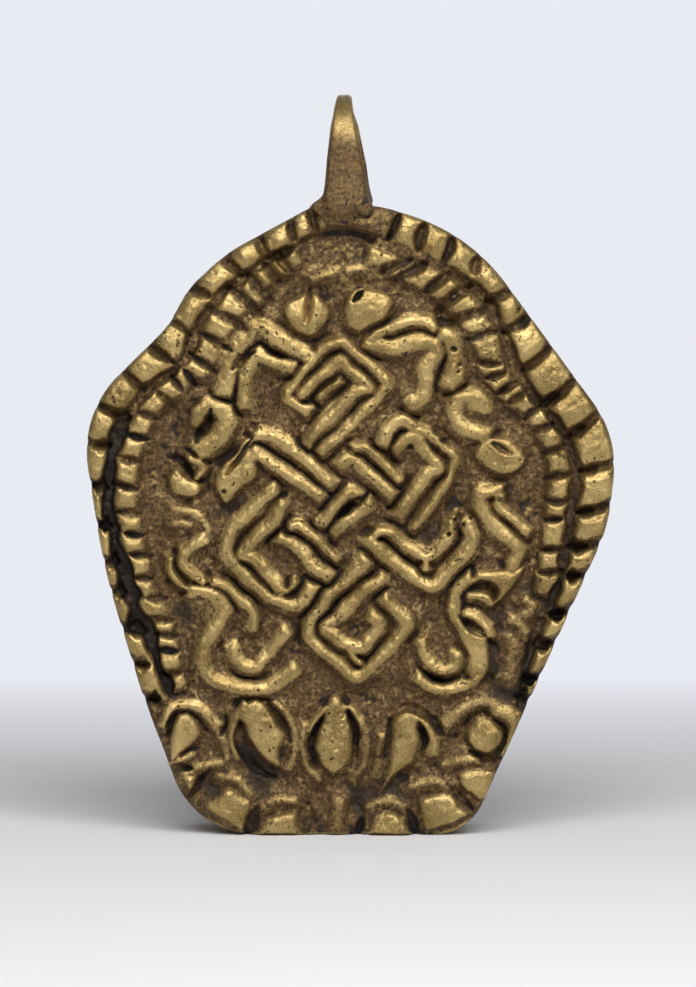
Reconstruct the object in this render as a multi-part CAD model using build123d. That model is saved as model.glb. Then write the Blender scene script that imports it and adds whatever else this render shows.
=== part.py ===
from build123d import *
import math
import os

# Ghau amulet box: a cast relief face on a walled case, with a hanging loop on top, a push-fit
# back lid, and a tied paper charm on a cloth pad inside.
# Everything is drawn lying on its back: x to the right, y up from the bottom edge, z towards the
# viewer. place() then stands it up, with the origin at the centre of the loop's eye, +Z up and the
# face towards -Y. All sizes are millimetres.

# Case
CASE_DEPTH = 8.6
WALL = 1.5
REAR_LIP = 0.8
LIFT_NOTCH_WIDTH = 4.0
LIFT_NOTCH_DEPTH = 0.7
LIFT_NOTCH_X = -1.3

# Face casting
RELIEF_HEIGHT = 1.1
FACE_THICKNESS = 1.0
RELIEF_ROOT = 0.3
BASE_TOP = 10.4

# Toothed rim and bead border of the face
RIM_WIDTH = 1.9
RIM_BEVEL = 0.35
TOOTH_PITCH = 2.7
TOOTH_NOTCH_WIDTH = 0.7
TOOTH_NOTCH_DEPTH = 0.8
BORDER_CHANNEL = 0.5
BEAD_WIDTH = 1.8
BEAD_HEIGHT = 0.8
BEAD_PITCH = 1.85
BEAD_NOTCH_WIDTH = 0.55
BEAD_NOTCH_DEPTH = 0.6

# Heights of the ornament above the ground of the face
KNOT_HEIGHT = 0.95
SCROLL_HEIGHT = 0.8
ARCH_HEIGHT = 0.75
BOSS_HEIGHT = 0.95
STRAP_CREST_SHARE = 0.55
BOSS_BEVEL = 0.3

# Hanging loop
LOOP_CENTRE = 51.4
LOOP_BORE_RADIUS = 3.0
LOOP_WALL = 1.2
LOOP_TRIM = 0.2
FOOT_LAP = 0.5
FOOT_BEND = 48.2
FOOT_END = 45.8

# Back lid
LID_THICKNESS = 0.8
LID_CLEARANCE = 0.1
LID_EDGE_BEVEL = 0.2
SKIRT_THICKNESS = 0.6
SKIRT_HEIGHT = 2.2
SKIRT_CLEARANCE = 0.1

# Contents
PAD_THICKNESS = 1.0
PAD_CLEARANCE = 0.2
SCROLL_BORE_RADIUS = 0.5
SCROLL_LENGTH = 26.0
SCROLL_X = -4.5
TIE_THICKNESS = 0.3
TIE_LENGTH = 5.0
TIE_HEIGHT = 14.0
CONTENT_GAP = 0.2

# Levels through the depth
REAR = -CASE_DEPTH / 2
CREST = CASE_DEPTH / 2
GROUND = CREST - RELIEF_HEIGHT
FACE_BACK = GROUND - FACE_THICKNESS
LID_SEAT = REAR + LID_THICKNESS
PAD_BACK = FACE_BACK - PAD_THICKNESS

# The tied scroll fills the depth between the pad and the lid, and stands on the lid's skirt
SCROLL_AXIS = (PAD_BACK + LID_SEAT) / 2
SCROLL_RADIUS = (PAD_BACK - LID_SEAT) / 2 - CONTENT_GAP - TIE_THICKNESS
SCROLL_FOOT = WALL + SKIRT_CLEARANCE + SKIRT_THICKNESS + CONTENT_GAP

# Where the sides of the hanging loop end, clear above its crown
LOOP_TOP = LOOP_CENTRE + LOOP_BORE_RADIUS + LOOP_WALL + LOOP_TRIM

# Longer than the case, for cuts that run right through
FAR = 120.0

# Corners of the case's outline and the radius that rounds each, counter-clockwise from lower right
OUTLINE = [
    (8.9, 0.0, 4.0),
    (19.4, 23.3, 12.0),
    (20.1, 30.0, 8.0),
    (9.0, 45.1, 14.0),
    (2.4, 47.2, 10.0),
    (-2.2, 47.5, 3.0),
    (-9.2, 43.7, 12.0),
    (-12.0, 41.1, 5.0),
    (-13.6, 38.2, 6.0),
    (-20.2, 31.7, 8.0),
    (-18.4, 20.0, 50.0),
    (-15.4, 10.2, 60.0),
    (-11.6, 0.0, 6.5),
]
LEAST_CORNER = 0.3

# Front outline of the hanging loop, with the radius of each corner
LOOP_FRONT = [
    (-1.0, LOOP_TOP, 0.0),
    (-1.7, 49.2, 4.0),
    (-2.9, 46.9, 0.4),
    (-2.2, 45.6, 0.4),
    (1.3, 45.6, 0.5),
    (1.9, 47.0, 0.4),
    (1.05, 49.2, 4.0),
    (0.25, LOOP_TOP, 0.0),
]

# Endless knot: the two ridges of each strap as (width, corners)
KNOT = [
    (0.8, [(-3.3, 32.2), (-4.6, 33.2), (-0.8, 37.2), (2.9, 34.2), (-1.9, 29.2)]),
    (0.9, [(-3.5, 33.4), (-0.65, 35.8), (1.5, 33.8), (-3.1, 29.8)]),
    (0.8, [(-9.3, 28.1), (-6.6, 30.4), (-1.5, 26.8)]),
    (1.0, [(-7.0, 29.0), (-2.3, 25.7)]),
    (0.9, [(-5.8, 25.9), (-8.9, 23.1), (-9.2, 21.5), (-7.0, 18.8), (-4.1, 17.4), (-2.9, 18.7)]),
    (0.9, [(-5.0, 25.0), (-8.3, 21.0)]),
    (0.9, [(-8.1, 21.0), (-7.1, 20.9), (-5.1, 18.6)]),
    (0.6, [(-4.3, 23.6), (-3.7, 23.5), (-1.05, 21.05)]),
    (0.9, [(-5.1, 22.45), (-1.75, 19.75)]),
    (0.6, [(0.8, 29.5), (3.6, 27.1)]),
    (0.9, [(-0.2, 28.5), (2.95, 26.0)]),
    (0.8, [(-1.9, 23.8), (-0.05, 26.2), (1.6, 24.95), (-0.95, 22.95)]),
    (0.9, [(2.5, 29.8), (3.85, 31.4), (7.9, 28.6), (4.85, 23.5)]),
    (1.0, [(3.6, 29.35), (4.75, 30.15), (6.65, 27.9), (3.75, 24.5)]),
    (1.0, [(1.6, 22.3), (6.1, 18.95), (9.2, 22.2), (9.0, 23.3)]),
    (0.75, [(2.0, 22.9), (2.7, 23.1), (5.75, 21.1), (7.55, 23.4)]),
    (0.8, [(1.15, 20.75), (-3.0, 15.7), (-2.7, 14.7), (0.4, 12.0), (4.2, 15.8), (2.75, 17.8)]),
    (0.9, [(2.25, 19.4), (-1.85, 15.8), (0.7, 14.2), (2.4, 16.2)]),
]

# Scrolls and ribbons round the knot as (width, route)
SCROLLS = [
    (1.1, [(-9.2, 34.2), (-8.6, 36.4), (-6.8, 38.2), (-3.5, 36.3)]),
    (1.0, [(-7.8, 32.7), (-7.9, 34.6), (-7.0, 36.3), (-4.6, 35.4)]),
    (0.9, [(1.6, 37.6), (3.9, 38.7), (6.2, 38.4)]),
    (1.2, [(1.6, 37.3), (4.1, 36.8), (6.3, 37.2), (5.7, 34.6), (4.8, 32.5)]),
    (1.2, [(7.2, 37.9), (7.8, 36.4), (7.7, 34.2)]),
    (1.1, [(-11.5, 31.2), (-11.2, 32.5), (-9.6, 32.5), (-8.9, 31.1), (-9.7, 29.8), (-11.2, 29.4)]),
    (1.2, [(10.0, 32.4), (9.0, 33.1), (7.9, 32.3), (8.2, 31.0), (10.1, 30.4)]),
    (0.8, [(-13.2, 24.2), (-11.2, 23.8), (-10.9, 22.5), (-12.4, 21.2), (-12.1, 20.0), (-10.9, 19.3)]),
    (0.9, [(-13.5, 20.9), (-12.9, 19.1), (-10.6, 18.5), (-9.5, 17.0), (-10.9, 14.2),
           (-10.3, 12.2), (-7.4, 11.0), (-4.4, 12.4)]),
    (0.7, [(-10.0, 19.5), (-8.3, 18.1), (-7.2, 16.0)]),
    (0.9, [(-8.75, 14.1), (-7.7, 12.8), (-6.4, 13.2), (-4.8, 15.3)]),
    (1.1, [(11.0, 26.0), (9.8, 25.6), (10.2, 24.2), (12.3, 22.3), (12.3, 20.8)]),
    (0.8, [(11.2, 25.6), (11.4, 24.6), (13.15, 23.1)]),
    (1.2, [(9.2, 19.3), (7.9, 18.3), (7.6, 16.4), (9.3, 14.8), (10.0, 13.2), (9.1, 11.6)]),
    (0.7, [(8.75, 16.8), (9.6, 16.5), (10.5, 15.3)]),
    (0.9, [(5.45, 14.6), (6.1, 13.0), (7.5, 12.6), (8.0, 13.6)]),
]

# Arched rims of the five lotus petals as (width, route)
ARCHES = [
    (0.6, [(-14.1, 8.2), (-13.5, 9.6), (-11.6, 10.0), (-9.4, 9.1)]),
    (0.6, [(-8.9, 8.2), (-7.6, 10.1), (-5.4, 9.8), (-4.1, 8.6)]),
    (0.6, [(-2.9, 8.1), (-1.2, 10.3), (0.95, 8.4)]),
    (0.6, [(2.85, 8.05), (4.1, 9.4), (6.6, 8.1)]),
    (0.7, [(7.0, 8.2), (9.2, 9.8), (11.0, 9.6), (12.2, 8.2), (11.6, 6.2)]),
]

# Raised bosses: jewels, the knot's left plate, a ribbon's flag, lotus petals and base teeth
BOSSES = [
    [(-4.9, 39.3), (-2.9, 41.2), (-1.5, 39.3), (-2.9, 37.5), (-4.4, 38.2)],
    [(-0.5, 39.5), (0.2, 41.0), (2.9, 40.5), (3.3, 39.7), (0.6, 37.8)],
    [(-7.0, 29.0), (-9.3, 27.3), (-10.1, 26.2), (-9.1, 24.8), (-7.6, 26.4)],
    [(-13.5, 26.6), (-12.9, 27.7), (-11.1, 26.7), (-11.3, 25.5), (-13.1, 25.4)],
    [(9.35, 28.4), (9.8, 29.8), (12.2, 29.8), (13.05, 28.5), (12.3, 27.2), (10.0, 27.3)],
    [(9.1, 19.0), (9.9, 20.1), (13.0, 20.3), (12.0, 18.4), (10.9, 17.4), (10.7, 18.8)],
    [(-12.8, 9.1), (-11.7, 9.2), (-11.1, 7.9), (-11.6, 6.4), (-13.0, 5.9), (-13.6, 7.0)],
    [(-7.3, 9.7), (-6.4, 9.6), (-4.9, 7.4), (-5.4, 5.5), (-6.8, 5.8), (-7.9, 7.3)],
    [(-1.4, 9.7), (-0.8, 9.7), (0.3, 7.2), (-0.2, 5.4), (-1.2, 4.5), (-2.2, 5.4), (-2.5, 7.0)],
    [(3.4, 7.7), (4.5, 8.6), (5.1, 7.2), (4.4, 5.0), (2.7, 3.6), (3.1, 5.8)],
    [(10.2, 9.1), (9.0, 7.8), (9.7, 6.3), (10.8, 6.2), (11.4, 7.8)],
    [(-12.8, 4.9), (-10.4, 5.1), (-11.9, 3.2)],
    [(-10.9, 2.3), (-9.1, 3.5), (-7.7, 2.4), (-8.1, 0.8), (-9.9, 1.5)],
    [(-6.9, 0.3), (-5.4, 1.6), (-4.1, 1.6), (-4.0, 0.3)],
    [(-2.4, 0.3), (-1.9, 1.3), (-0.1, 1.3), (0.3, 0.3)],
    [(1.2, 0.3), (2.0, 1.5), (3.6, 1.5), (4.5, 0.3)],
    [(5.4, 0.6), (5.3, 2.7), (7.6, 2.7), (8.9, 1.4), (7.8, 0.8)],
    [(8.2, 4.1), (10.7, 5.0), (10.1, 2.8)],
]


def place(piece):
    """Stand a piece up in the part's frame, with the loop's eye at the origin."""
    standing = Plane(origin=(0, 0, -LOOP_CENTRE), x_dir=(1, 0, 0), z_dir=(0, -1, 0))
    return standing.location * piece


def inset_corners(inset):
    """Corners and radii of the curve that runs parallel to the case's outline, inset inside it."""
    count = len(OUTLINE)
    points = [Vector(x, y) for x, y, _ in OUTLINE]
    corners = []
    for i in range(count):
        run_in = (points[i] - points[i - 1]).normalized()
        run_out = (points[(i + 1) % count] - points[i]).normalized()
        turn = run_in.cross(run_out).Z
        bisector = Vector(-(run_in + run_out).Y, (run_in + run_out).X)
        corner = points[i] + bisector * (inset / (1 + run_in.dot(run_out)))
        radius = OUTLINE[i][2] - math.copysign(inset, turn)
        corners.append((corner.X, corner.Y, max(radius, LEAST_CORNER)))
    return corners


def rounded_face(corners):
    """Face bounded by straight runs, each corner rounded by its own radius."""
    points = [(x, y) for x, y, _ in corners]
    radii = [radius for _, _, radius in corners]
    return make_face(FilletPolyline(*points, radius=radii, close=True))


def outline_face(inset=0.0):
    return rounded_face(inset_corners(inset))


def slab(face, low, high):
    """Solid on a face drawn in the ground plane, from one level to another."""
    return extrude(Pos(0, 0, low) * face, amount=high - low, dir=(0, 0, 1))


def ring(outer_inset, inner_inset, low, high):
    return slab(outline_face(outer_inset), low, high) - slab(outline_face(inner_inset), low, high)


def strap_section(path, width, height):
    """Section of a raised strap: sloping flanks and a worn flat crest, rooted in the ground."""
    half = width / 2
    crest = half * STRAP_CREST_SHARE
    section = Plane(origin=path @ 0, x_dir=Vector(0, 0, 1).cross(path % 0), z_dir=path % 0)
    profile = Polyline(
        (-half, -RELIEF_ROOT), (half, -RELIEF_ROOT), (half, 0),
        (crest, height), (-crest, height), (-half, 0), close=True,
    )
    return section * make_face(profile)


def mitred_strap(width, corners, height):
    path = Polyline(*[(x, y, GROUND) for x, y in corners])
    return sweep(strap_section(path, width, height), path=path, transition=Transition.RIGHT)


def bend_radii(route):
    """Radius of each bend of a route, as large as its two runs allow."""
    radii = []
    for before, here, after in zip(route, route[1:], route[2:]):
        run_in = Vector(*here) - Vector(*before)
        run_out = Vector(*after) - Vector(*here)
        half_turn = math.radians(run_in.get_angle(run_out)) / 2
        radii.append(0.45 * min(run_in.length, run_out.length) / math.tan(half_turn))
    return radii


def curved_strap(width, route, height):
    path = FilletPolyline(*[(x, y, GROUND) for x, y in route], radius=bend_radii(route))
    return sweep(strap_section(path, width, height), path=path)


def crest_edges(solid):
    return solid.faces().sort_by(Axis.Z)[-1].edges()


def boss(corners):
    """Raised boss with a bevelled crest."""
    face = make_face(Polyline(*corners, close=True))
    prism = slab(face, GROUND - RELIEF_ROOT, GROUND + BOSS_HEIGHT)
    return chamfer(crest_edges(prism), BOSS_BEVEL)


def notches(inset, length, pitch, width, depth, crest):
    """V-notches square to the outline at an even pitch, all the way round it."""
    wire = outline_face(inset).face().outer_wire()
    count = round(wire.length / pitch)
    profile = Polyline((-width / 2, 0), (0, -depth), (width / 2, 0), close=True)
    cutters = []
    for i in range(count):
        point = wire.position_at(i / count)
        along = wire.tangent_at(i / count)
        section = Plane((point.X, point.Y, crest), x_dir=along, z_dir=(along.Y, -along.X, 0))
        cutters.append(extrude(section * make_face(profile), amount=length / 2, both=True))
    return cutters


def raised_border(inset, width, height):
    """Border that follows the outline at an inset, rooted in the ground."""
    return ring(inset, inset + width, GROUND - RELIEF_ROOT, GROUND + height)


def notched(border, inset, width, height, pitch, notch_width, notch_depth):
    """A border cut into teeth, and ended at the top of the lotus base."""
    cutters = notches(inset + width / 2, 2 * width, pitch, notch_width, notch_depth, GROUND + height)
    return border - cutters - Pos(0, BASE_TOP - FAR / 2, 0) * Box(FAR, FAR, FAR)


def face_casting():
    """Cast front: a plate with the toothed rim, the bead border and the ornament raised on it."""
    plate = slab(outline_face(), FACE_BACK, GROUND)
    rim = raised_border(0, RIM_WIDTH, RELIEF_HEIGHT)
    rim = chamfer(crest_edges(rim), RIM_BEVEL)
    rim = notched(
        rim, 0, RIM_WIDTH, RELIEF_HEIGHT, TOOTH_PITCH, TOOTH_NOTCH_WIDTH, TOOTH_NOTCH_DEPTH
    )
    bead_inset = RIM_WIDTH + BORDER_CHANNEL
    beads = raised_border(bead_inset, BEAD_WIDTH, BEAD_HEIGHT)
    beads = notched(
        beads, bead_inset, BEAD_WIDTH, BEAD_HEIGHT, BEAD_PITCH, BEAD_NOTCH_WIDTH, BEAD_NOTCH_DEPTH
    )
    ornament = [mitred_strap(width, corners, KNOT_HEIGHT) for width, corners in KNOT]
    ornament += [curved_strap(width, route, SCROLL_HEIGHT) for width, route in SCROLLS]
    ornament += [curved_strap(width, route, ARCH_HEIGHT) for width, route in ARCHES]
    ornament += [boss(corners) for corners in BOSSES]
    return plate + [rim, beads] + ornament


def wall_band():
    """Side wall behind the face, stepped at the rear to seat the lid."""
    band = ring(0, WALL, REAR, FACE_BACK)
    band -= slab(outline_face(REAR_LIP), REAR, LID_SEAT)
    notch_radius = (LIFT_NOTCH_WIDTH**2 / 4 + LIFT_NOTCH_DEPTH**2) / (2 * LIFT_NOTCH_DEPTH)
    notch = Rot(90, 0, 0) * Cylinder(notch_radius, 2 * WALL)
    return band - Pos(LIFT_NOTCH_X, 0, REAR + LIFT_NOTCH_DEPTH - notch_radius) * notch


def bail_strap():
    """Hanging loop: a strap with a round eye, footed on the wall and lapped over the rim."""
    outer = LOOP_BORE_RADIUS + LOOP_WALL
    front = CREST + FOOT_LAP
    side = Polyline(
        (LOOP_CENTRE, -outer), (FOOT_END, -outer), (FOOT_END, front), (FOOT_BEND, front),
        (LOOP_CENTRE, outer),
    )
    crown = RadiusArc(side @ 1, side @ 0, outer)
    profile = make_face(side.edges() + crown.edges())
    eye = Pos(LOOP_CENTRE, 0) * Circle(LOOP_BORE_RADIUS)
    strap = extrude(Plane.YZ * (profile - eye), amount=FAR / 2, both=True)
    strap &= slab(rounded_face(LOOP_FRONT), REAR - FAR, FAR)
    return strap - slab(outline_face(), REAR - FAR, CREST)


def lid_plate():
    plate = slab(outline_face(REAR_LIP + LID_CLEARANCE), REAR, LID_SEAT)
    return chamfer(plate.faces().sort_by(Axis.Z)[0].edges(), LID_EDGE_BEVEL)


def lid_skirt():
    outer_inset = WALL + SKIRT_CLEARANCE
    return ring(outer_inset, outer_inset + SKIRT_THICKNESS, LID_SEAT, LID_SEAT + SKIRT_HEIGHT)


def lining_pad():
    return slab(outline_face(WALL + PAD_CLEARANCE), PAD_BACK, FACE_BACK)


def upright_tube(outer, inner, low, length):
    """Tube on the scroll's axis, from a height above the bottom edge."""
    tube = extrude(Circle(outer) - Circle(inner), amount=length)
    return Pos(SCROLL_X, low, SCROLL_AXIS) * Rot(-90, 0, 0) * tube


def prayer_scroll():
    return upright_tube(SCROLL_RADIUS, SCROLL_BORE_RADIUS, SCROLL_FOOT, SCROLL_LENGTH)


def scroll_tie():
    low = SCROLL_FOOT + TIE_HEIGHT - TIE_LENGTH / 2
    return upright_tube(SCROLL_RADIUS + TIE_THICKNESS, SCROLL_RADIUS, low, TIE_LENGTH)


PIECES = {
    "face_casting": face_casting,
    "wall_band": wall_band,
    "bail_strap": bail_strap,
    "lid_plate": lid_plate,
    "lid_skirt": lid_skirt,
    "lining_pad": lining_pad,
    "prayer_scroll": prayer_scroll,
    "scroll_tie": scroll_tie,
}

os.makedirs("parts", exist_ok=True)
for name, make_piece in PIECES.items():
    export_step(place(make_piece()), f"parts/{name}.step")
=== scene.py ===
import math

import bmesh
import bpy
import numpy as np
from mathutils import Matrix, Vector


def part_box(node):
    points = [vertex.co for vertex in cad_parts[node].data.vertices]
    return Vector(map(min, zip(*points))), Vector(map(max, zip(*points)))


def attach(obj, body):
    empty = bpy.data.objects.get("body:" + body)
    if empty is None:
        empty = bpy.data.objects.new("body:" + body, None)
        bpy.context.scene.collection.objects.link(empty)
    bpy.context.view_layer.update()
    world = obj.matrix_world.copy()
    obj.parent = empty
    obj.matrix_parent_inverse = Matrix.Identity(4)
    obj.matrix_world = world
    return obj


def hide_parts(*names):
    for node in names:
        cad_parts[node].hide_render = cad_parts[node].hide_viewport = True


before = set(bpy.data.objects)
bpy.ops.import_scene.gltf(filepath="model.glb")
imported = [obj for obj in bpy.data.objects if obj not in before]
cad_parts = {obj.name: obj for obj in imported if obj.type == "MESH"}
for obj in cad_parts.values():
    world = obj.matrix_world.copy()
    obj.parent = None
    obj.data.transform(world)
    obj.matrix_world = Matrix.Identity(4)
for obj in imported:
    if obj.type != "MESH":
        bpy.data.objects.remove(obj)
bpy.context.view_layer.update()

# Units: the relief is drawn in millimetres, u to the right, v up from the bottom edge, w towards the viewer.
MM = 0.001

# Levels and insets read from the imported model
face_low, face_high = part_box("face_casting")
wall_low, wall_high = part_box("wall_band")
lid_low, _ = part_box("lid_plate")
skirt_low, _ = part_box("lid_skirt")
pad_low, pad_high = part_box("lining_pad")
bail_low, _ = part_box("bail_strap")
scroll_low, scroll_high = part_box("prayer_scroll")
tie_low, tie_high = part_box("scroll_tie")

BOTTOM = face_low.z / MM
CREST = -face_low.y / MM
FACE_BACK = -face_high.y / MM
REAR = -wall_high.y / MM
LID_SEAT = -lid_low.y / MM
LID_INSET = (lid_low.z - wall_low.z) / MM
SKIRT_INSET = (skirt_low.z - wall_low.z) / MM
SKIRT_FRONT = -skirt_low.y / MM
PAD_INSET = (pad_low.z - wall_low.z) / MM
PAD_FRONT = -pad_low.y / MM
PAD_BACK = -pad_high.y / MM
FOOT_FRONT = -bail_low.y / MM

# Sizes of the relief and the walls
RELIEF_HEIGHT = 1.1
GROUND = CREST - RELIEF_HEIGHT
FIT = 0.1
LIP = LID_INSET - FIT
WALL = SKIRT_INSET - FIT
SKIRT_THICKNESS = 0.6
GRID_STEP = 0.1
SHEET_LOW, SHEET_HIGH = (-20.6, -0.5), (20.6, 48.1)
SEED = 7

# Case outline: corner, corner and rounding radius, counter-clockwise from the lower right
OUTLINE = [
    (8.9, 0.0, 4.0), (19.4, 23.3, 12.0), (20.1, 30.0, 8.0), (9.0, 45.1, 14.0), (2.4, 47.2, 10.0),
    (-2.2, 47.5, 3.0), (-9.2, 43.7, 12.0), (-12.0, 41.1, 5.0), (-13.6, 38.2, 6.0), (-20.2, 31.7, 8.0),
    (-18.4, 20.0, 50.0), (-15.4, 10.2, 60.0), (-11.6, 0.0, 6.5),
]

# Groove between the toothed rim and the bead border, from lower left over the top to lower right
GROOVE = [
    (-13.6, 11.0), (-14.7, 14.0), (-15.9, 16.8), (-16.8, 19.4), (-17.8, 23.4), (-18.1, 25.6), (-17.7, 29.0),
    (-16.9, 31.1), (-15.5, 33.2), (-13.2, 34.9), (-12.25, 36.1), (-11.3, 38.4), (-9.9, 40.3), (-7.9, 41.9),
    (-4.6, 43.9), (-1.9, 45.1), (-0.3, 45.3), (2.2, 44.5), (5.2, 43.4), (8.4, 41.8), (10.5, 39.9),
    (11.7, 37.0), (12.9, 34.3), (14.7, 32.0), (16.5, 29.4), (17.0, 27.0), (16.7, 24.0), (16.2, 21.0),
    (15.3, 18.0), (14.0, 14.9), (12.8, 11.0),
]

# Half-width of the groove on the left side: height, half-width
LEFT_GROOVE = [
    (12.3, 0.25), (13.3, 0.35), (14.8, 0.35), (16.0, 0.9), (17.0, 0.45), (18.5, 0.75), (20.0, 0.6),
    (21.5, 0.5),
    (22.4, 0.35), (25.3, 0.4), (29.8, 0.45), (31.2, 0.6), (32.7, 0.55), (34.0, 0.3),
]

# Notches between the rim teeth, each from the outer edge to the groove
RIM_NOTCHES = [
    ((-2.9, 46.9), (-2.4, 45.6)), ((-4.45, 46.1), (-4.1, 44.7)), ((-6.9, 44.95), (-6.0, 43.4)),
    ((-9.4, 43.3), (-8.1, 42.1)), ((-11.85, 41.0), (-10.5, 40.35)), ((-13.2, 38.55), (-11.95, 37.75)),
    ((-14.85, 36.75), (-13.1, 35.5)), ((-16.8, 34.65), (-15.55, 33.5)), ((-18.5, 32.15), (-16.6, 31.4)),
    ((-19.6, 29.5), (-18.1, 29.25)), ((-19.5, 26.5), (-18.35, 26.1)), ((-18.95, 23.4), (-18.0, 23.3)),
    ((-18.35, 20.75), (-17.5, 20.6)), ((-17.7, 18.4), (-17.0, 18.3)), ((-17.1, 15.65), (-15.5, 15.4)),
    ((-16.4, 12.95), (-15.2, 12.8)), ((-15.3, 10.35), (-14.3, 10.3)),
    ((3.5, 46.2), (2.85, 44.85)), ((5.5, 45.5), (5.1, 44.0)), ((7.55, 44.4), (7.1, 43.05)),
    ((9.6, 43.1), (9.2, 42.3)), ((11.75, 40.7), (10.2, 40.2)), ((13.15, 38.65), (11.5, 37.75)),
    ((14.75, 36.4), (13.0, 34.9)), ((16.5, 33.85), (14.5, 32.3)), ((18.45, 31.5), (16.5, 29.95)),
    ((19.55, 28.0), (17.3, 27.45)), ((19.2, 24.85), (17.1, 24.2)), ((18.6, 22.0), (16.6, 21.75)),
    ((17.85, 19.7), (16.4, 19.5)), ((16.8, 17.0), (15.1, 16.6)), ((15.7, 14.75), (14.0, 14.2)),
    ((14.55, 12.05), (13.1, 11.7)), ((13.9, 10.1), (12.6, 10.4)),
]

# Stretches of the bead border, left and right of the top: width, middle line
BEAD_BANDS = [
    (1.35, [(-4.4, 43.2), (-6.0, 42.1), (-8.6, 40.0), (-9.9, 38.4), (-10.6, 36.8), (-12.3, 34.3),
            (-14.6, 32.5), (-15.6, 30.9), (-16.5, 28.2), (-16.7, 25.4), (-16.2, 21.9), (-15.3, 18.4),
            (-14.0, 15.2), (-13.1, 11.7)]),
    (1.35, [(2.0, 43.3), (4.4, 42.2), (7.4, 40.7), (9.2, 38.9), (10.3, 36.75), (10.8, 34.4), (13.3, 32.2),
            (14.8, 30.4), (15.6, 28.0), (15.6, 25.4), (15.2, 22.3), (14.7, 18.8)]),
    (1.95, [(-7.6, 40.7), (-8.6, 39.9), (-9.6, 38.4), (-10.3, 36.7), (-11.2, 35.3)]),
    (1.75, [(5.4, 41.9), (7.4, 40.7), (9.1, 38.9), (10.2, 36.9), (10.5, 35.4)]),
]

# Lens-shaped slits between the beads, each from the groove inwards
BEAD_SLITS = [
    ((-5.3, 43.4), (-4.6, 42.6)), ((-6.1, 42.6), (-5.5, 41.8)), ((-7.4, 41.9), (-6.3, 40.6)),
    ((-8.6, 41.0), (-7.2, 39.6)), ((-10.1, 39.4), (-8.2, 38.3)), ((-11.0, 37.8), (-8.8, 36.3)),
    ((-12.0, 36.2), (-10.1, 34.8)), ((-12.4, 34.9), (-11.4, 33.8)), ((-13.3, 34.4), (-12.5, 33.4)),
    ((-14.5, 33.4), (-13.3, 32.2)), ((-15.8, 31.9), (-14.4, 31.3)), ((-16.6, 30.2), (-15.2, 29.7)),
    ((-17.3, 28.4), (-15.8, 28.0)), ((-17.7, 26.4), (-15.9, 26.0)), ((-17.4, 24.4), (-15.7, 24.1)),
    ((-16.8, 22.8), (-15.5, 22.5)), ((-16.5, 21.2), (-15.0, 21.0)), ((-16.0, 19.4), (-14.7, 19.3)),
    ((-15.0, 17.9), (-14.0, 17.8)), ((-14.9, 16.3), (-13.4, 16.2)), ((-14.6, 15.2), (-13.0, 15.0)),
    ((-14.4, 13.9), (-13.0, 13.9)), ((-13.9, 12.3), (-12.6, 12.3)),
    ((4.1, 43.0), (2.8, 42.4)), ((5.3, 42.7), (3.9, 41.9)), ((7.1, 41.9), (5.9, 41.0)),
    ((8.5, 40.9), (6.9, 39.7)), ((9.8, 39.4), (8.0, 38.7)), ((10.8, 37.8), (9.0, 37.4)),
    ((11.3, 35.5), (9.5, 35.5)), ((11.5, 34.7), (10.2, 34.3)), ((12.5, 34.0), (11.1, 33.3)),
    ((13.2, 33.2), (11.9, 32.6)), ((14.3, 32.2), (13.0, 31.3)), ((15.2, 30.9), (13.8, 30.4)),
    ((16.1, 29.3), (14.5, 28.8)), ((16.5, 27.2), (14.8, 26.8)), ((16.3, 25.2), (14.6, 25.3)),
    ((16.0, 23.8), (14.6, 23.8)), ((15.9, 21.5), (14.3, 21.5)), ((15.9, 19.8), (14.2, 19.9)),
]

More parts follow.
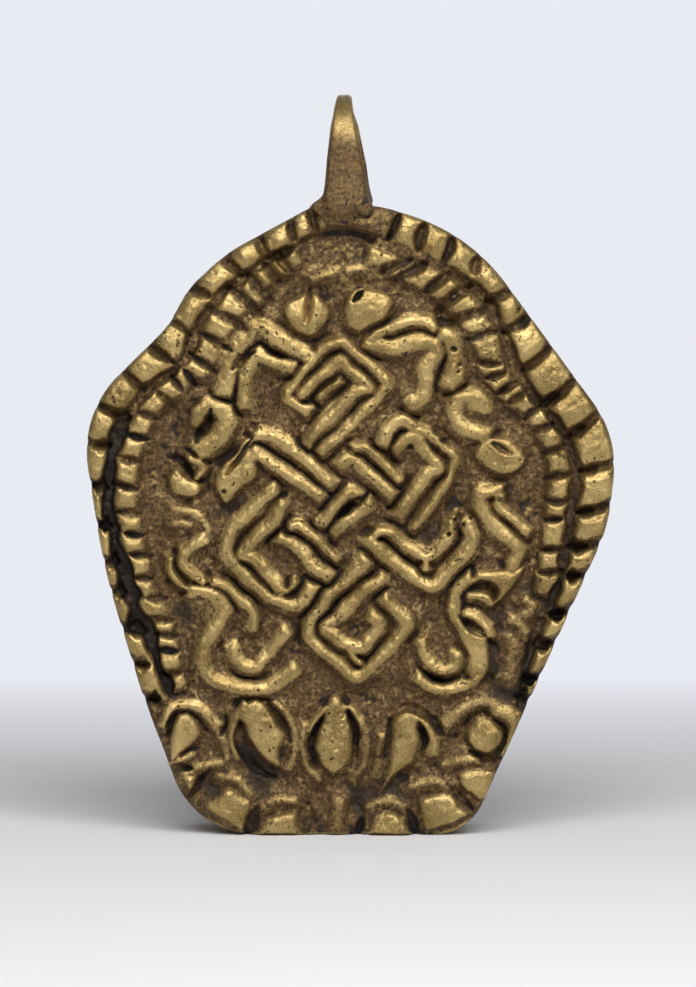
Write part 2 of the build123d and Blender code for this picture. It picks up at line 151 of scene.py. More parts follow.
# Endless knot: width of the strand, then its middle line
KNOT = [
    (0.75, [(-3.3, 32.2), (-4.65, 33.1), (-4.2, 34.0), (-3.4, 35.1), (-2.1, 36.65), (-0.6, 37.2),
            (0.25, 36.55), (1.6, 35.45), (2.95, 34.2), (2.4, 33.4), (1.25, 32.3), (-0.1, 30.85),
            (-1.95, 29.15)]),
    (0.9, [(-3.55, 33.4), (-2.45, 34.4), (-0.65, 35.8), (0.15, 35.0), (1.5, 33.75), (0.6, 33.4),
           (-0.4, 32.65), (-1.3, 31.7), (-2.4, 30.7), (-3.1, 29.8)]),
    (0.5, [(-2.3, 33.1), (-1.6, 33.7), (-0.85, 34.2)]),
    (0.9, [(-6.9, 30.2), (-6.4, 30.3), (-5.8, 30.15), (-4.9, 29.6), (-3.8, 28.8), (-2.75, 28.0),
           (-1.5, 26.75)]),
    (0.4, [(-9.3, 28.1), (-8.7, 28.45), (-7.05, 30.15)]),
    (1.0, [(-7.0, 29.0), (-6.15, 28.35), (-5.1, 27.65), (-4.0, 26.9), (-2.3, 25.75)]),
    (0.9, [(-5.8, 25.9), (-6.95, 25.0), (-7.85, 24.1), (-8.75, 23.2), (-9.2, 21.9), (-8.95, 20.85),
           (-7.6, 19.3), (-6.6, 18.5), (-4.65, 17.5), (-4.0, 17.4), (-3.35, 17.9), (-2.9, 18.7)]),
    (0.9, [(-5.0, 25.0), (-5.8, 23.65), (-6.8, 22.75), (-7.6, 21.85), (-8.1, 21.2), (-7.25, 20.95),
           (-6.15, 19.85), (-5.1, 18.6)]),
    (0.45, [(-4.75, 18.5), (-4.4, 18.8), (-4.0, 19.25)]),
    (0.55, [(-4.35, 23.45), (-3.75, 23.45), (-2.9, 22.85), (-2.0, 22.0), (-1.05, 21.05)]),
    (0.9, [(-5.1, 22.45), (-4.35, 22.0), (-3.45, 21.3), (-2.65, 20.4), (-1.75, 19.75)]),
    (0.6, [(0.5, 29.25), (1.15, 29.35), (2.15, 28.45), (3.6, 27.1)]),
    (0.9, [(-0.5, 28.1), (0.05, 28.45), (1.05, 27.65), (2.05, 26.75), (2.95, 26.0)]),
    (0.75, [(-1.9, 23.75), (-0.95, 25.05), (-0.1, 26.05), (0.35, 25.85)]),
    (0.95, [(-0.95, 23.15), (0.2, 24.1), (1.3, 24.95)]),
    (0.95, [(2.5, 29.8), (2.95, 30.7), (3.85, 31.4), (4.75, 30.85), (5.65, 30.4), (6.45, 29.9)]),
    (0.6, [(6.45, 29.9), (7.2, 29.25), (7.9, 28.6), (7.65, 27.65), (7.2, 26.75), (6.2, 25.1), (4.85, 23.5)]),
    (1.0, [(3.6, 29.35), (4.75, 30.15), (5.4, 29.35), (6.65, 27.9), (5.9, 27.35), (5.4, 26.75), (4.85, 25.9),
           (3.75, 24.5)]),
    (1.0, [(1.6, 22.3), (2.5, 21.4), (3.6, 20.5), (4.65, 19.7), (6.1, 18.95), (6.9, 19.4), (7.8, 20.4),
           (8.6, 21.3), (9.2, 22.4), (9.0, 23.3)]),
    (0.75, [(2.0, 22.8), (2.5, 23.1), (3.3, 22.85), (4.1, 22.1), (5.0, 21.5), (5.75, 21.1), (6.35, 21.4),
            (7.0, 22.1), (7.55, 22.85), (7.55, 23.55)]),
    (0.5, [(5.75, 21.0), (5.72, 20.6), (5.7, 20.3)]),
    (0.85, [(1.15, 20.75), (-0.3, 19.25), (-1.55, 18.15), (-2.75, 16.55), (-3.0, 15.65), (-2.9, 14.9),
            (-2.2, 14.3), (-0.6, 12.75), (0.15, 12.1), (0.6, 12.05), (1.5, 12.75), (3.15, 14.35), (4.2, 15.8),
            (3.95, 16.55), (2.75, 17.8)]),
    (0.9, [(2.25, 19.4), (1.4, 18.85), (0.6, 17.95), (-0.4, 17.0), (-1.8, 15.8), (-1.1, 15.25), (-0.5, 14.65),
           (0.35, 14.3), (1.05, 14.3), (1.6, 15.0), (2.4, 16.05), (1.85, 16.55)]),
    (0.4, [(0.05, 14.0), (0.45, 13.55), (0.85, 13.1)]),
]

# Scrolls, curls and ribbons round the knot: width, middle line
SCROLLS = [
    (1.3, [(-9.3, 33.7), (-9.0, 35.5), (-7.9, 37.4), (-6.8, 38.25), (-5.45, 37.55), (-4.2, 36.75),
           (-3.45, 36.3)]),
    (1.2, [(-7.8, 32.7), (-7.9, 34.4), (-7.5, 35.3), (-7.0, 36.2), (-6.0, 35.9), (-4.6, 35.4)]),
    (0.9, [(1.6, 37.4), (2.85, 38.1), (3.95, 38.65), (4.85, 38.9), (5.75, 38.75), (6.2, 38.45)]),
    (1.2, [(1.6, 37.2), (3.05, 36.8), (4.1, 36.9), (5.2, 37.2), (6.1, 37.2), (6.5, 36.5), (5.75, 35.3),
           (5.65, 34.0), (5.4, 33.0), (4.75, 32.55)]),
    (1.3, [(7.1, 37.75), (7.6, 37.4), (7.8, 36.0), (7.9, 35.0), (7.6, 34.2)]),
    (1.3, [(-11.2, 32.1), (-10.5, 32.4), (-9.6, 32.2), (-9.1, 31.2), (-9.6, 30.2), (-10.3, 29.6),
           (-11.0, 29.2)]),
    (0.5, [(-11.85, 28.45), (-11.15, 28.15), (-10.95, 27.65), (-11.3, 27.1)]),
    (1.2, [(9.4, 32.5), (10.1, 32.3), (9.7, 32.9), (9.0, 33.1), (8.2, 32.8), (7.8, 32.0), (8.1, 31.2),
           (8.9, 30.6), (10.1, 30.3)]),
    (0.75, [(-11.0, 22.4), (-12.2, 21.55), (-12.6, 20.85), (-12.3, 20.3), (-10.95, 19.3)]),
    (0.35, [(-13.5, 21.0), (-13.4, 20.1), (-12.9, 19.3), (-12.2, 18.8), (-11.4, 18.6)]),
    (1.05, [(-11.6, 18.5), (-10.25, 18.25), (-9.6, 17.45), (-9.5, 16.8), (-10.4, 15.25), (-10.85, 14.55),
            (-11.05, 13.65), (-10.8, 12.65), (-10.25, 11.95), (-9.05, 11.5), (-7.95, 11.15), (-6.95, 11.05),
            (-5.8, 11.3), (-4.35, 12.4)]),
    (0.7, [(-10.05, 19.15), (-9.05, 18.7), (-8.3, 17.9), (-7.25, 16.7), (-7.25, 15.9)]),
    (0.9, [(-8.75, 14.1), (-8.4, 13.4), (-7.8, 12.95), (-6.95, 12.95), (-6.35, 13.55), (-4.8, 15.35)]),
    (1.1, [(11.0, 26.0), (10.0, 25.9), (9.65, 25.3), (10.0, 24.65), (11.3, 22.85), (12.2, 22.3),
           (12.65, 21.65), (12.2, 20.5)]),
    (0.8, [(11.25, 25.65), (11.25, 24.85), (11.9, 24.1), (13.15, 23.1)]),
    (0.9, [(8.95, 19.4), (8.2, 18.8), (7.8, 18.1), (7.7, 17.3)]),
    (0.75, [(9.7, 12.2), (8.7, 11.5), (7.4, 11.15), (6.2, 11.35), (5.2, 11.95)]),
    (0.5, [(9.05, 18.25), (9.75, 18.15), (10.75, 17.6)]),
    (0.7, [(8.75, 16.8), (9.5, 16.55), (10.2, 16.0), (10.55, 15.25)]),
    (0.9, [(5.45, 14.55), (5.65, 13.75), (6.65, 12.7), (7.35, 12.6), (7.9, 12.9), (8.0, 13.6)]),
]

# Low worn ridges under the loop, between the petals and behind the base teeth: width, middle line
LOW_RIDGES = [
    (0.7, [(-2.6, 41.7), (-1.9, 42.0), (-1.0, 42.2)]),
    (0.7, [(0.0, 42.3), (0.6, 42.5), (1.2, 42.6)]),
    (0.8, [(-13.0, 23.4), (-12.5, 23.3), (-12.0, 23.2)]),
    (0.7, [(-13.2, 24.3), (-11.95, 24.2), (-11.05, 23.7), (-10.6, 23.1), (-10.85, 22.4)]),
    (1.1, [(12.1, 14.8), (12.3, 14.2), (12.2, 13.6)]),
    (1.1, [(12.0, 13.1), (12.2, 12.6), (11.9, 12.0)]),
    (0.9, [(13.3, 17.6), (13.7, 17.2), (13.2, 16.6)]),
    (0.9, [(12.2, 16.2), (12.9, 15.8), (13.2, 15.2)]),
    (0.7, [(-10.2, 8.4), (-9.6, 7.2), (-9.2, 5.8)]),
    (0.7, [(-5.9, 10.0), (-5.0, 9.3), (-4.3, 8.2), (-4.1, 6.4), (-4.6, 5.0)]),
    (0.5, [(-3.4, 8.2), (-3.6, 6.8), (-3.2, 5.2), (-2.4, 4.2)]),
    (0.5, [(1.2, 7.8), (1.3, 6.4), (1.0, 5.2), (0.3, 4.2)]),
    (0.6, [(2.3, 7.2), (2.2, 6.0), (1.9, 4.8)]),
    (0.9, [(6.6, 7.6), (7.6, 8.6), (8.8, 9.5), (9.9, 9.9), (10.9, 9.7)]),
    (0.8, [(-12.4, 4.7), (-11.2, 5.1), (-9.7, 5.3)]),
    (0.7, [(-9.6, 4.3), (-8.4, 4.0), (-7.5, 3.2)]),
    (0.7, [(-6.9, 2.0), (-5.6, 2.5), (-4.3, 2.6)]),
    (1.1, [(-1.0, 0.5), (-0.9, 1.3), (-0.8, 2.3)]),
    (0.7, [(1.6, 2.2), (2.8, 2.6), (3.9, 2.2)]),
    (0.8, [(4.7, 3.6), (6.2, 4.0), (7.4, 3.7)]),
    (0.7, [(7.2, 5.2), (8.4, 5.5), (9.6, 5.6)]),
]

# Arched rims of the lotus petals: width, middle line
ARCHES = [
    (0.8, [(-13.9, 8.6), (-13.3, 9.6), (-12.2, 10.0), (-11.0, 9.6), (-10.0, 8.6)]),
    (0.7, [(-7.9, 10.0), (-8.6, 8.9), (-8.75, 7.5), (-8.4, 6.2)]),
    (0.5, [(-1.7, 9.7), (-2.4, 9.0), (-2.9, 8.1)]),
    (0.5, [(-0.4, 9.8), (0.4, 9.3), (0.85, 8.4)]),
    (0.6, [(4.4, 9.3), (5.0, 9.05), (5.6, 8.6), (6.1, 8.0)]),
    (0.9, [(4.9, 9.0), (5.8, 8.3), (6.3, 7.3), (6.35, 6.4)]),
    (1.0, [(11.05, 9.55), (12.05, 9.3), (12.5, 8.4), (12.1, 7.2), (11.6, 6.3)]),
    (0.5, [(-13.5, 5.5), (-12.8, 5.7), (-12.0, 6.2)]),
]

# Jewels, petal bosses and base teeth: width of the rounded flank, then the corners of the foot
BOSSES = [
    (0.8, [(-12.05, 31.4), (-11.8, 32.2), (-11.1, 32.4), (-10.75, 31.8), (-10.85, 31.0), (-11.3, 30.55),
           (-11.85, 30.75)]),
    (1.5, [(-3.1, 40.8), (-2.2, 40.5), (-1.6, 39.8), (-1.5, 38.9), (-2.0, 38.0), (-2.8, 37.4), (-3.8, 37.7),
           (-4.6, 38.5), (-4.95, 39.3), (-4.6, 40.0), (-3.9, 40.5)]),
    (1.5, [(-0.5, 39.4), (-0.25, 40.5), (0.6, 41.05), (2.0, 40.9), (2.95, 40.5), (3.3, 39.7), (2.8, 38.9),
           (1.7, 38.2), (0.7, 37.8), (-0.1, 38.3)]),
    (0.7, [(-13.55, 26.9), (-13.0, 27.7), (-12.2, 27.1), (-11.05, 26.45), (-11.1, 25.75), (-11.6, 25.45),
           (-12.95, 25.45), (-13.4, 25.85)]),
    (0.8, [(9.35, 28.7), (10.1, 29.9), (11.25, 29.95), (12.15, 29.8), (13.05, 28.6), (12.9, 27.65),
           (12.05, 27.2), (10.9, 27.2), (9.45, 28.1)]),
    (0.8, [(-9.3, 28.2), (-9.85, 27.6), (-10.1, 26.7), (-10.0, 25.8), (-9.1, 24.75), (-8.15, 26.1),
           (-7.0, 26.75), (-7.0, 29.0), (-8.0, 28.9)]),
    (0.7, [(9.6, 19.95), (11.3, 20.15), (12.2, 19.95), (13.1, 20.4), (13.0, 19.75), (12.0, 18.3),
           (10.85, 17.25), (11.1, 18.25), (10.65, 18.85), (9.85, 19.15), (9.1, 18.85)]),
    (0.9, [(7.35, 18.0), (8.2, 18.4), (8.4, 17.4), (8.4, 16.8), (9.1, 15.8), (10.1, 15.3), (10.5, 14.4),
           (10.55, 12.9), (10.05, 11.9), (8.95, 11.9), (8.7, 12.6), (8.8, 13.6), (8.1, 15.1),
           (7.35, 16.55)]),
    (0.9, [(-12.9, 9.05), (-12.0, 9.25), (-11.2, 8.2), (-11.4, 7.2), (-12.4, 6.2), (-13.3, 5.5), (-13.4, 6.8),
           (-13.3, 8.0)]),
    (0.9, [(-8.3, 9.75), (-7.2, 10.3), (-6.2, 9.65), (-5.4, 8.5), (-4.9, 7.5), (-5.35, 6.4), (-5.1, 5.0),
           (-6.2, 5.6), (-7.1, 6.5), (-7.65, 7.5), (-7.8, 8.4), (-8.5, 8.8)]),
    (1.1, [(-1.55, 10.35), (-1.1, 10.55), (-0.6, 10.2), (-0.1, 9.3), (0.2, 8.2), (0.25, 7.0), (0.1, 5.8),
           (-0.5, 5.0), (-1.3, 4.6), (-2.1, 5.2), (-2.55, 6.4), (-2.5, 7.6), (-1.95, 8.8), (-1.75, 9.6)]),
    (0.8, [(3.2, 8.5), (3.7, 9.15), (4.3, 9.4), (4.9, 9.0), (5.1, 8.2), (5.1, 7.0), (4.8, 5.7), (3.9, 4.7),
           (2.9, 4.0), (2.25, 3.3), (2.7, 4.6), (3.0, 5.6), (3.1, 6.8), (3.1, 7.7)]),
    (0.9, [(10.05, 9.05), (10.95, 8.7), (11.5, 8.0), (11.3, 6.8), (10.55, 6.2), (9.55, 6.3), (8.95, 7.1),
           (8.9, 8.0), (9.35, 8.6)]),
    (0.7, [(-12.7, 4.6), (-11.5, 4.4), (-11.9, 3.3)]),
    (0.8, [(-10.9, 2.05), (-10.1, 2.9), (-9.15, 3.55), (-8.2, 3.1), (-7.35, 2.55), (-7.75, 1.1), (-8.2, 0.3),
           (-9.4, 1.0)]),
    (0.7, [(-7.0, 0.0), (-6.1, 1.3), (-5.1, 1.7), (-4.0, 1.85), (-4.1, 0.8), (-3.9, 0.0)]),
    (0.7, [(1.3, 0.0), (1.75, 1.1), (2.55, 1.75), (3.3, 1.75), (4.2, 1.1), (4.6, 0.0)]),
    (0.8, [(5.3, 2.75), (6.1, 2.95), (7.7, 2.95), (8.3, 2.15), (9.05, 1.55), (7.6, 0.85), (5.8, 0.25),
           (5.4, 1.5)]),
    (0.7, [(8.05, 4.6), (9.15, 5.0), (10.45, 5.1), (10.95, 4.7), (10.65, 3.25), (10.05, 2.5), (9.15, 3.05),
           (8.55, 3.45)]),
]

# Slits cut into the jewels, petals, curls and base: width, line
SLITS = [
    (0.7, [(-0.85, 23.85), (0.0, 24.9), (0.6, 25.5)]),
    (0.65, [(-2.95, 41.0), (-3.05, 40.0), (-3.25, 38.75)]),
    (0.55, [(0.95, 40.8), (0.6, 40.45), (0.25, 40.1)]),
    (0.6, [(-8.75, 34.95), (-8.1, 35.7), (-7.2, 36.4)]),
    (0.5, [(-6.6, 36.9), (-5.8, 36.45), (-5.0, 36.0)]),
    (0.7, [(-10.35, 31.95), (-10.5, 31.15), (-11.05, 30.5), (-11.5, 29.6)]),
    (0.6, [(-13.5, 28.5), (-12.5, 28.15), (-11.75, 27.2)]),
    (0.55, [(10.8, 29.5), (11.4, 29.15), (12.05, 28.8)]),
    (0.4, [(-9.3, 27.2), (-8.3, 28.5), (-7.35, 29.8)]),
    (0.6, [(8.3, 16.6), (8.9, 15.75), (9.6, 15.2), (10.2, 14.9)]),
    (0.55, [(5.3, 12.7), (6.3, 11.95), (7.5, 11.75), (8.4, 12.3)]),
    (0.85, [(-8.2, 8.5), (-8.35, 7.5), (-8.05, 6.3), (-7.2, 5.2), (-6.3, 4.6), (-5.5, 4.3)]),
    (0.6, [(-6.1, 9.75), (-5.3, 8.9), (-4.75, 8.0), (-4.5, 7.1)]),
    (0.6, [(-2.0, 8.8), (-2.75, 7.6), (-2.9, 6.4), (-2.5, 5.2)]),
    (0.55, [(-0.1, 9.3), (0.45, 8.3), (0.55, 7.2), (0.45, 6.0)]),
    (0.3, [(3.2, 8.8), (2.85, 8.0), (2.8, 6.8), (2.65, 5.8)]),
    (0.6, [(5.2, 8.5), (5.5, 7.7), (5.65, 6.6)]),
    (0.4, [(11.65, 7.6), (11.45, 6.7), (11.05, 6.0)]),
    (0.5, [(9.0, 6.3), (10.2, 5.9), (11.4, 5.85)]),
    (0.35, [(8.6, 8.3), (9.3, 9.1), (10.1, 9.5)]),
    (0.4, [(-13.6, 7.4), (-13.5, 8.4), (-12.9, 9.4)]),
    (0.8, [(-13.4, 5.2), (-12.7, 5.1), (-11.9, 5.0)]),
    (0.5, [(-12.3, 2.6), (-11.4, 3.7), (-10.4, 4.9)]),
    (1.1, [(-8.0, -0.1), (-7.4, 0.9), (-6.9, 2.2)]),
    (1.6, [(-3.3, 0.4), (-3.2, 1.3), (-3.1, 2.3)]),
    (0.8, [(0.3, -0.1), (0.7, 0.5), (0.9, 1.3)]),
    (1.1, [(5.0, -0.1), (4.8, 0.9), (4.4, 1.9)]),
    (0.6, [(9.3, 1.9), (8.3, 2.9), (7.4, 3.9)]),
]

# Casting bubbles and pits seen on the face: place, radius
PITS = [
    (7.8, 36.55, 0.38), (8.25, 35.4, 0.25), (8.15, 34.85, 0.22), (12.8, 28.25, 0.2), (-9.4, 25.9, 0.3),
    (7.45, 22.7, 0.28), (7.95, 23.1, 0.22), (8.35, 22.6, 0.25), (8.5, 23.4, 0.3), (7.9, 23.8, 0.24),
    (9.1, 23.9, 0.2), (12.7, 39.55, 0.3), (4.55, 29.2, 0.35),
]

# Heights of the relief above its ground
KNOT_HEIGHT = 0.96
SCROLL_HEIGHT = 0.92
ARCH_HEIGHT = 0.78
BOSS_HEIGHT = 0.95
LOW_HEIGHT = 0.66
BEAD_HEIGHT = 0.88
RIM_HEIGHT = 1.02
BASE_HEIGHT = 0.42

# Strands: roundness, flanks, square-cut ends and rubbed tops
ROUNDNESS = 2.1
ARCH_ROUNDNESS = 1.7
BEAD_ROUNDNESS = 4.0
FLANK = 0.2
RIDGE_REACH = 2.6
END_CORNER = 5.0
END_SHARE = 0.001
STRAND_DROP = 0.17
STRAND_RUBBED = 0.07
RUB_OUTSIDE = 0.12
RUB_INSIDE = 0.08

# Bosses: foot, flank and rubbed top
BOSS_FOOT = 0.08
BOSS_FLANK = 0.1
BOSS_SHOULDER = 0.55
BOSS_REACH = 1.2
BOSS_RUBBED = 0.22
BOSS_RUB = (0.05, 0.35)

# Slits: shape of the cut and its soot
SLIT_WIDTH = 0.6
SLIT_DEPTH = 0.5
SLIT_LENS = 0.6
SLIT_LEAST = 0.35
SLIT_EXTRA = 0.06
SLIT_CURVE = 0.8
SLIT_BLACK = (0.1, 0.5)

# Waver of the cast outlines, and a distance beyond any other
WAVER = 0.06
WAVER_SIZE = 0.45
FAR_AWAY = 9.0


def smooth(low, high, value):
    """0 below low, 1 above high and an S-curve in between."""
    share = np.clip((value - low) / (high - low), 0.0, 1.0)
    return share * share * (3.0 - 2.0 * share)


def smooth_route(points, spans=6):
    """Points of a Catmull-Rom curve through the given points."""
    knots = np.array(points, dtype=float)
    knots = np.vstack([2 * knots[0] - knots[1], knots, 2 * knots[-1] - knots[-2]])
    share = np.linspace(0.0, 1.0, spans, endpoint=False)[:, None]
    runs = []
    for before, start, end, after in zip(knots[:-3], knots[1:-2], knots[2:-1], knots[3:]):
        bend = 2 * before - 5 * start + 4 * end - after
        swing = 3 * (start - end) + after - before
        runs.append(start + 0.5 * share * (end - before + share * (bend + share * swing)))
    return np.vstack(runs + [knots[-2:-1]])


def route_distance(route, u, v):
    """Distance of each point from a route, and the share of the route's length at the nearest place."""
    nearest = np.full(u.shape, np.inf)
    share = np.zeros(u.shape)
    steps = np.diff(route, axis=0)
    lengths = np.hypot(steps[:, 0], steps[:, 1])
    passed = 0.0
    for start, step, length in zip(route[:-1], steps, lengths):
        along = ((u - start[0]) * step[0] + (v - start[1]) * step[1]) / max(length * length, 1e-9)
        along = np.clip(along, 0.0, 1.0)
        gap = np.hypot(u - start[0] - along * step[0], v - start[1] - along * step[1])
        closer = gap < nearest
        nearest[closer] = gap[closer]
        share[closer] = (passed + along[closer] * length) / lengths.sum()
        passed += length
    return nearest, share


def square_ended(route, u, v):
    """Distance of each point from a route whose ends are cut square instead of round."""
    distance, share = route_distance(route, u, v)
    for end, before, ending in (
        (route[0], route[1], share < END_SHARE),
        (route[-1], route[-2], share > 1.0 - END_SHARE),
    ):
        ahead = (end - before) / np.hypot(*(end - before))
        past = (u - end[0]) * ahead[0] + (v - end[1]) * ahead[1]
        aside = (u - end[0]) * ahead[1] - (v - end[1]) * ahead[0]
        squared = (np.maximum(past, 0.0) ** END_CORNER + np.abs(aside) ** END_CORNER) ** (1.0 / END_CORNER)
        distance = np.where(ending, squared, distance)
    return distance


def within(corners, u, v):
    """True where a point lies inside a closed outline."""
    inside = np.zeros(u.shape, dtype=bool)
    for (u0, v0), (u1, v1) in zip(corners, np.roll(corners, -1, axis=0)):
        if v0 != v1:
            crossing = u0 + (v - v0) * (u1 - u0) / (v1 - v0)
            inside ^= ((v0 > v) != (v1 > v)) & (u < crossing)
    return inside


def depth_within(corners, u, v):
    """Distance from a closed outline, positive inside it."""
    closed = np.vstack([corners, corners[:1]])
    distance, _ = route_distance(closed, u, v)
    return np.where(within(corners, u, v), distance, -distance)


def rounded_outline(spacing=0.2):
    """Points along the case outline with its corners rounded, counter-clockwise."""
    corners = np.array(OUTLINE)
    points = []
    for before, corner, after in zip(np.roll(corners, 1, axis=0), corners, np.roll(corners, -1, axis=0)):
        arriving = corner[:2] - before[:2]
        arriving /= np.hypot(*arriving)
        leaving = after[:2] - corner[:2]
        leaving /= np.hypot(*leaving)
        turn = math.atan2(arriving[0] * leaving[1] - arriving[1] * leaving[0], arriving @ leaving)
        radius = corner[2]
        tangent = radius * math.tan(abs(turn) / 2)
        side = math.copysign(1.0, turn)
        start = corner[:2] - tangent * arriving
        centre = start + side * radius * np.array([-arriving[1], arriving[0]])
        steps = max(3, int(abs(turn) * radius / spacing))
        for angle in np.linspace(0.0, turn, steps):
            cosine, sine = math.cos(angle), math.sin(angle)
            spoke = start - centre
            points.append(centre + (cosine * spoke[0] - sine * spoke[1], sine * spoke[0] + cosine * spoke[1]))
    return np.array(points)


def closed_route(corners):
    """Points of a smooth closed outline through the given corners."""
    return smooth_route(corners + corners[:1], spans=3)[:-1]


def full_turn(count):
    """Evenly spaced angles round a circle."""
    return np.linspace(0.0, 2 * math.pi, count, endpoint=False)


def stations(outline, count):
    """Evenly spaced points on a closed outline, with the direction that points inwards at each."""
    closed = np.vstack([outline, outline[:1]])
    lengths = np.hypot(*np.diff(closed, axis=0).T)
    passed = np.concatenate([[0.0], np.cumsum(lengths)])
    wanted = np.linspace(0.0, passed[-1], count, endpoint=False)
    points = np.stack([np.interp(wanted, passed, line) for line in closed.T], axis=1)
    along = np.roll(points, -1, axis=0) - np.roll(points, 1, axis=0)
    along /= np.hypot(along[:, 0], along[:, 1])[:, None]
    return points, np.stack([-along[:, 1], along[:, 0]], axis=1)


def blurred(values, size):
    """Values blurred by a Gaussian of the given size in grid steps."""
    rows, columns = values.shape
    pad = int(4 * size) + 1
    padded = np.pad(values, pad, mode="edge")
    across = np.fft.rfftfreq(padded.shape[1])
    down = np.fft.fftfreq(padded.shape[0])
    filter_shape = np.exp(-2 * (math.pi * size) ** 2 * (across[None, :] ** 2 + down[:, None] ** 2))
    result = np.fft.irfft2(np.fft.rfft2(padded) * filter_shape, s=padded.shape)
    return result[pad:pad + rows, pad:pad + columns]


def grain(shape, size, draw):
    """Smooth seeded noise of a given grain size in grid steps, scaled to a spread of one."""
    field = blurred(np.random.default_rng(SEED + draw).standard_normal(shape), size)
    return field / field.std()


def grains(shape, layers):
    """Layers of seeded noise added up: amount, grain size and number of the draw."""
    return sum(amount * grain(shape, size, draw) for amount, size, draw in layers)


def mottled(shape, middle, spread, size, draw, limits):
    """Seeded noise about a middle value, held within limits."""
    return np.clip(middle + spread * grain(shape, size, draw), *limits)


def lift(layer, values, patch=...):
    """Raise a layer to the given values where they are higher."""
    layer[patch] = np.maximum(layer[patch], values)


class Sheet:
    """A grid in u and v on which the levels of a plate are worked out."""

    def __init__(self, step, low=SHEET_LOW, high=SHEET_HIGH):
        self.step = step
        self.across = np.arange(low[0], high[0] + step, step)
        self.up = np.arange(low[1], high[1] + step, step)
        self.u, self.v = np.meshgrid(self.across, self.up)
        self.shape = self.u.shape
        self.height, self.soot, self.crack, self.rubbed = (np.zeros(self.shape) for _ in range(4))
        self.nearest, self.second = (np.full(self.shape, FAR_AWAY) for _ in range(2))
        self.cast_u = self.u + WAVER * grain(self.shape, size=WAVER_SIZE / step, draw=30)
        self.cast_v = self.v + WAVER * grain(self.shape, size=WAVER_SIZE / step, draw=31)

    def zone(self, across, up, middle=None):
        """1 in a zone that fades out across and up; with a middle, across is the distance from it."""
        u = self.u if middle is None else np.abs(self.u - middle)
        return smooth(*across, u) * smooth(*up, self.v)

    def patch(self, points, margin):
        """The rows and columns that lie within a margin of some points."""
        low = np.min(points, axis=0) - margin
        high = np.max(points, axis=0) + margin
        rows = slice(*np.searchsorted(self.up, (low[1], high[1])))
        columns = slice(*np.searchsorted(self.across, (low[0], high[0])))
        return rows, columns

    def note(self, patch, distance):
        """Remember the two nearest raised edges at each place, to find the valleys between them."""
        nearest, second = self.nearest[patch], self.second[patch]
        self.second[patch] = np.minimum(second, np.maximum(nearest, distance))
        self.nearest[patch] = np.minimum(nearest, distance)

    def ridge(self, width, points, height, boxy=ROUNDNESS, drop=0.0, rubbed=0.0):
        """Raise a rounded strand along a curve, with flanks that run out into the ground."""
        route = smooth_route(points) - (0.0, drop)
        half = width / 2 + FLANK
        patch = self.patch(route, RIDGE_REACH * half)
        distance = square_ended(route, self.cast_u[patch], self.cast_v[patch])
        lift(self.height, height * 0.5 ** ((distance / half) ** boxy), patch)
        lift(self.rubbed, rubbed * smooth(width / 2 + RUB_OUTSIDE, width / 2 - RUB_INSIDE, distance), patch)
        self.note(patch, distance - width / 2)

    def boss(self, flank, corners, height):
        """Raise a domed boss on a closed foot."""
        foot = closed_route(corners)
        patch = self.patch(foot, BOSS_REACH)
        depth = depth_within(foot, self.cast_u[patch], self.cast_v[patch])
        shoulder = 1.0 / (1.0 + np.exp(-(depth + BOSS_FOOT) / BOSS_FLANK))
        share = np.clip(depth / flank, 0.0, 1.0)
        dome = BOSS_SHOULDER + (1.0 - BOSS_SHOULDER) * np.sqrt(share * (2.0 - share))
        lift(self.height, height * shoulder * dome, patch)
        lift(self.rubbed, BOSS_RUBBED * smooth(*BOSS_RUB, depth), patch)
        self.note(patch, -depth)

    def slit(self, width, points, depth, black, lens=SLIT_LENS):
        """Cut a V-shaped slit that narrows to both ends, and blacken it."""
        route = smooth_route(points) if len(points) > 2 else np.array(points)
        patch = self.patch(route, width)
        distance, share = route_distance(route, self.cast_u[patch], self.cast_v[patch])
        narrowing = np.clip(np.sin(math.pi * share), 0.0, 1.0) ** lens
        half = width / 2 * np.maximum(narrowing, SLIT_LEAST) + SLIT_EXTRA
        cut = np.clip(1.0 - distance / half, 0.0, 1.0)
        self.height[patch] -= depth * cut ** SLIT_CURVE
        lift(self.soot, black * smooth(*SLIT_BLACK, cut), patch)

    def pit(self, u, v, radius, depth):
        """Sink a round pit."""
        patch = self.patch(np.array([[u, v]]), radius)
        distance = np.hypot(self.u[patch] - u, self.v[patch] - v)
        self.height[patch] -= depth * np.clip(1.0 - (distance / radius) ** 2, 0.0, 1.0)


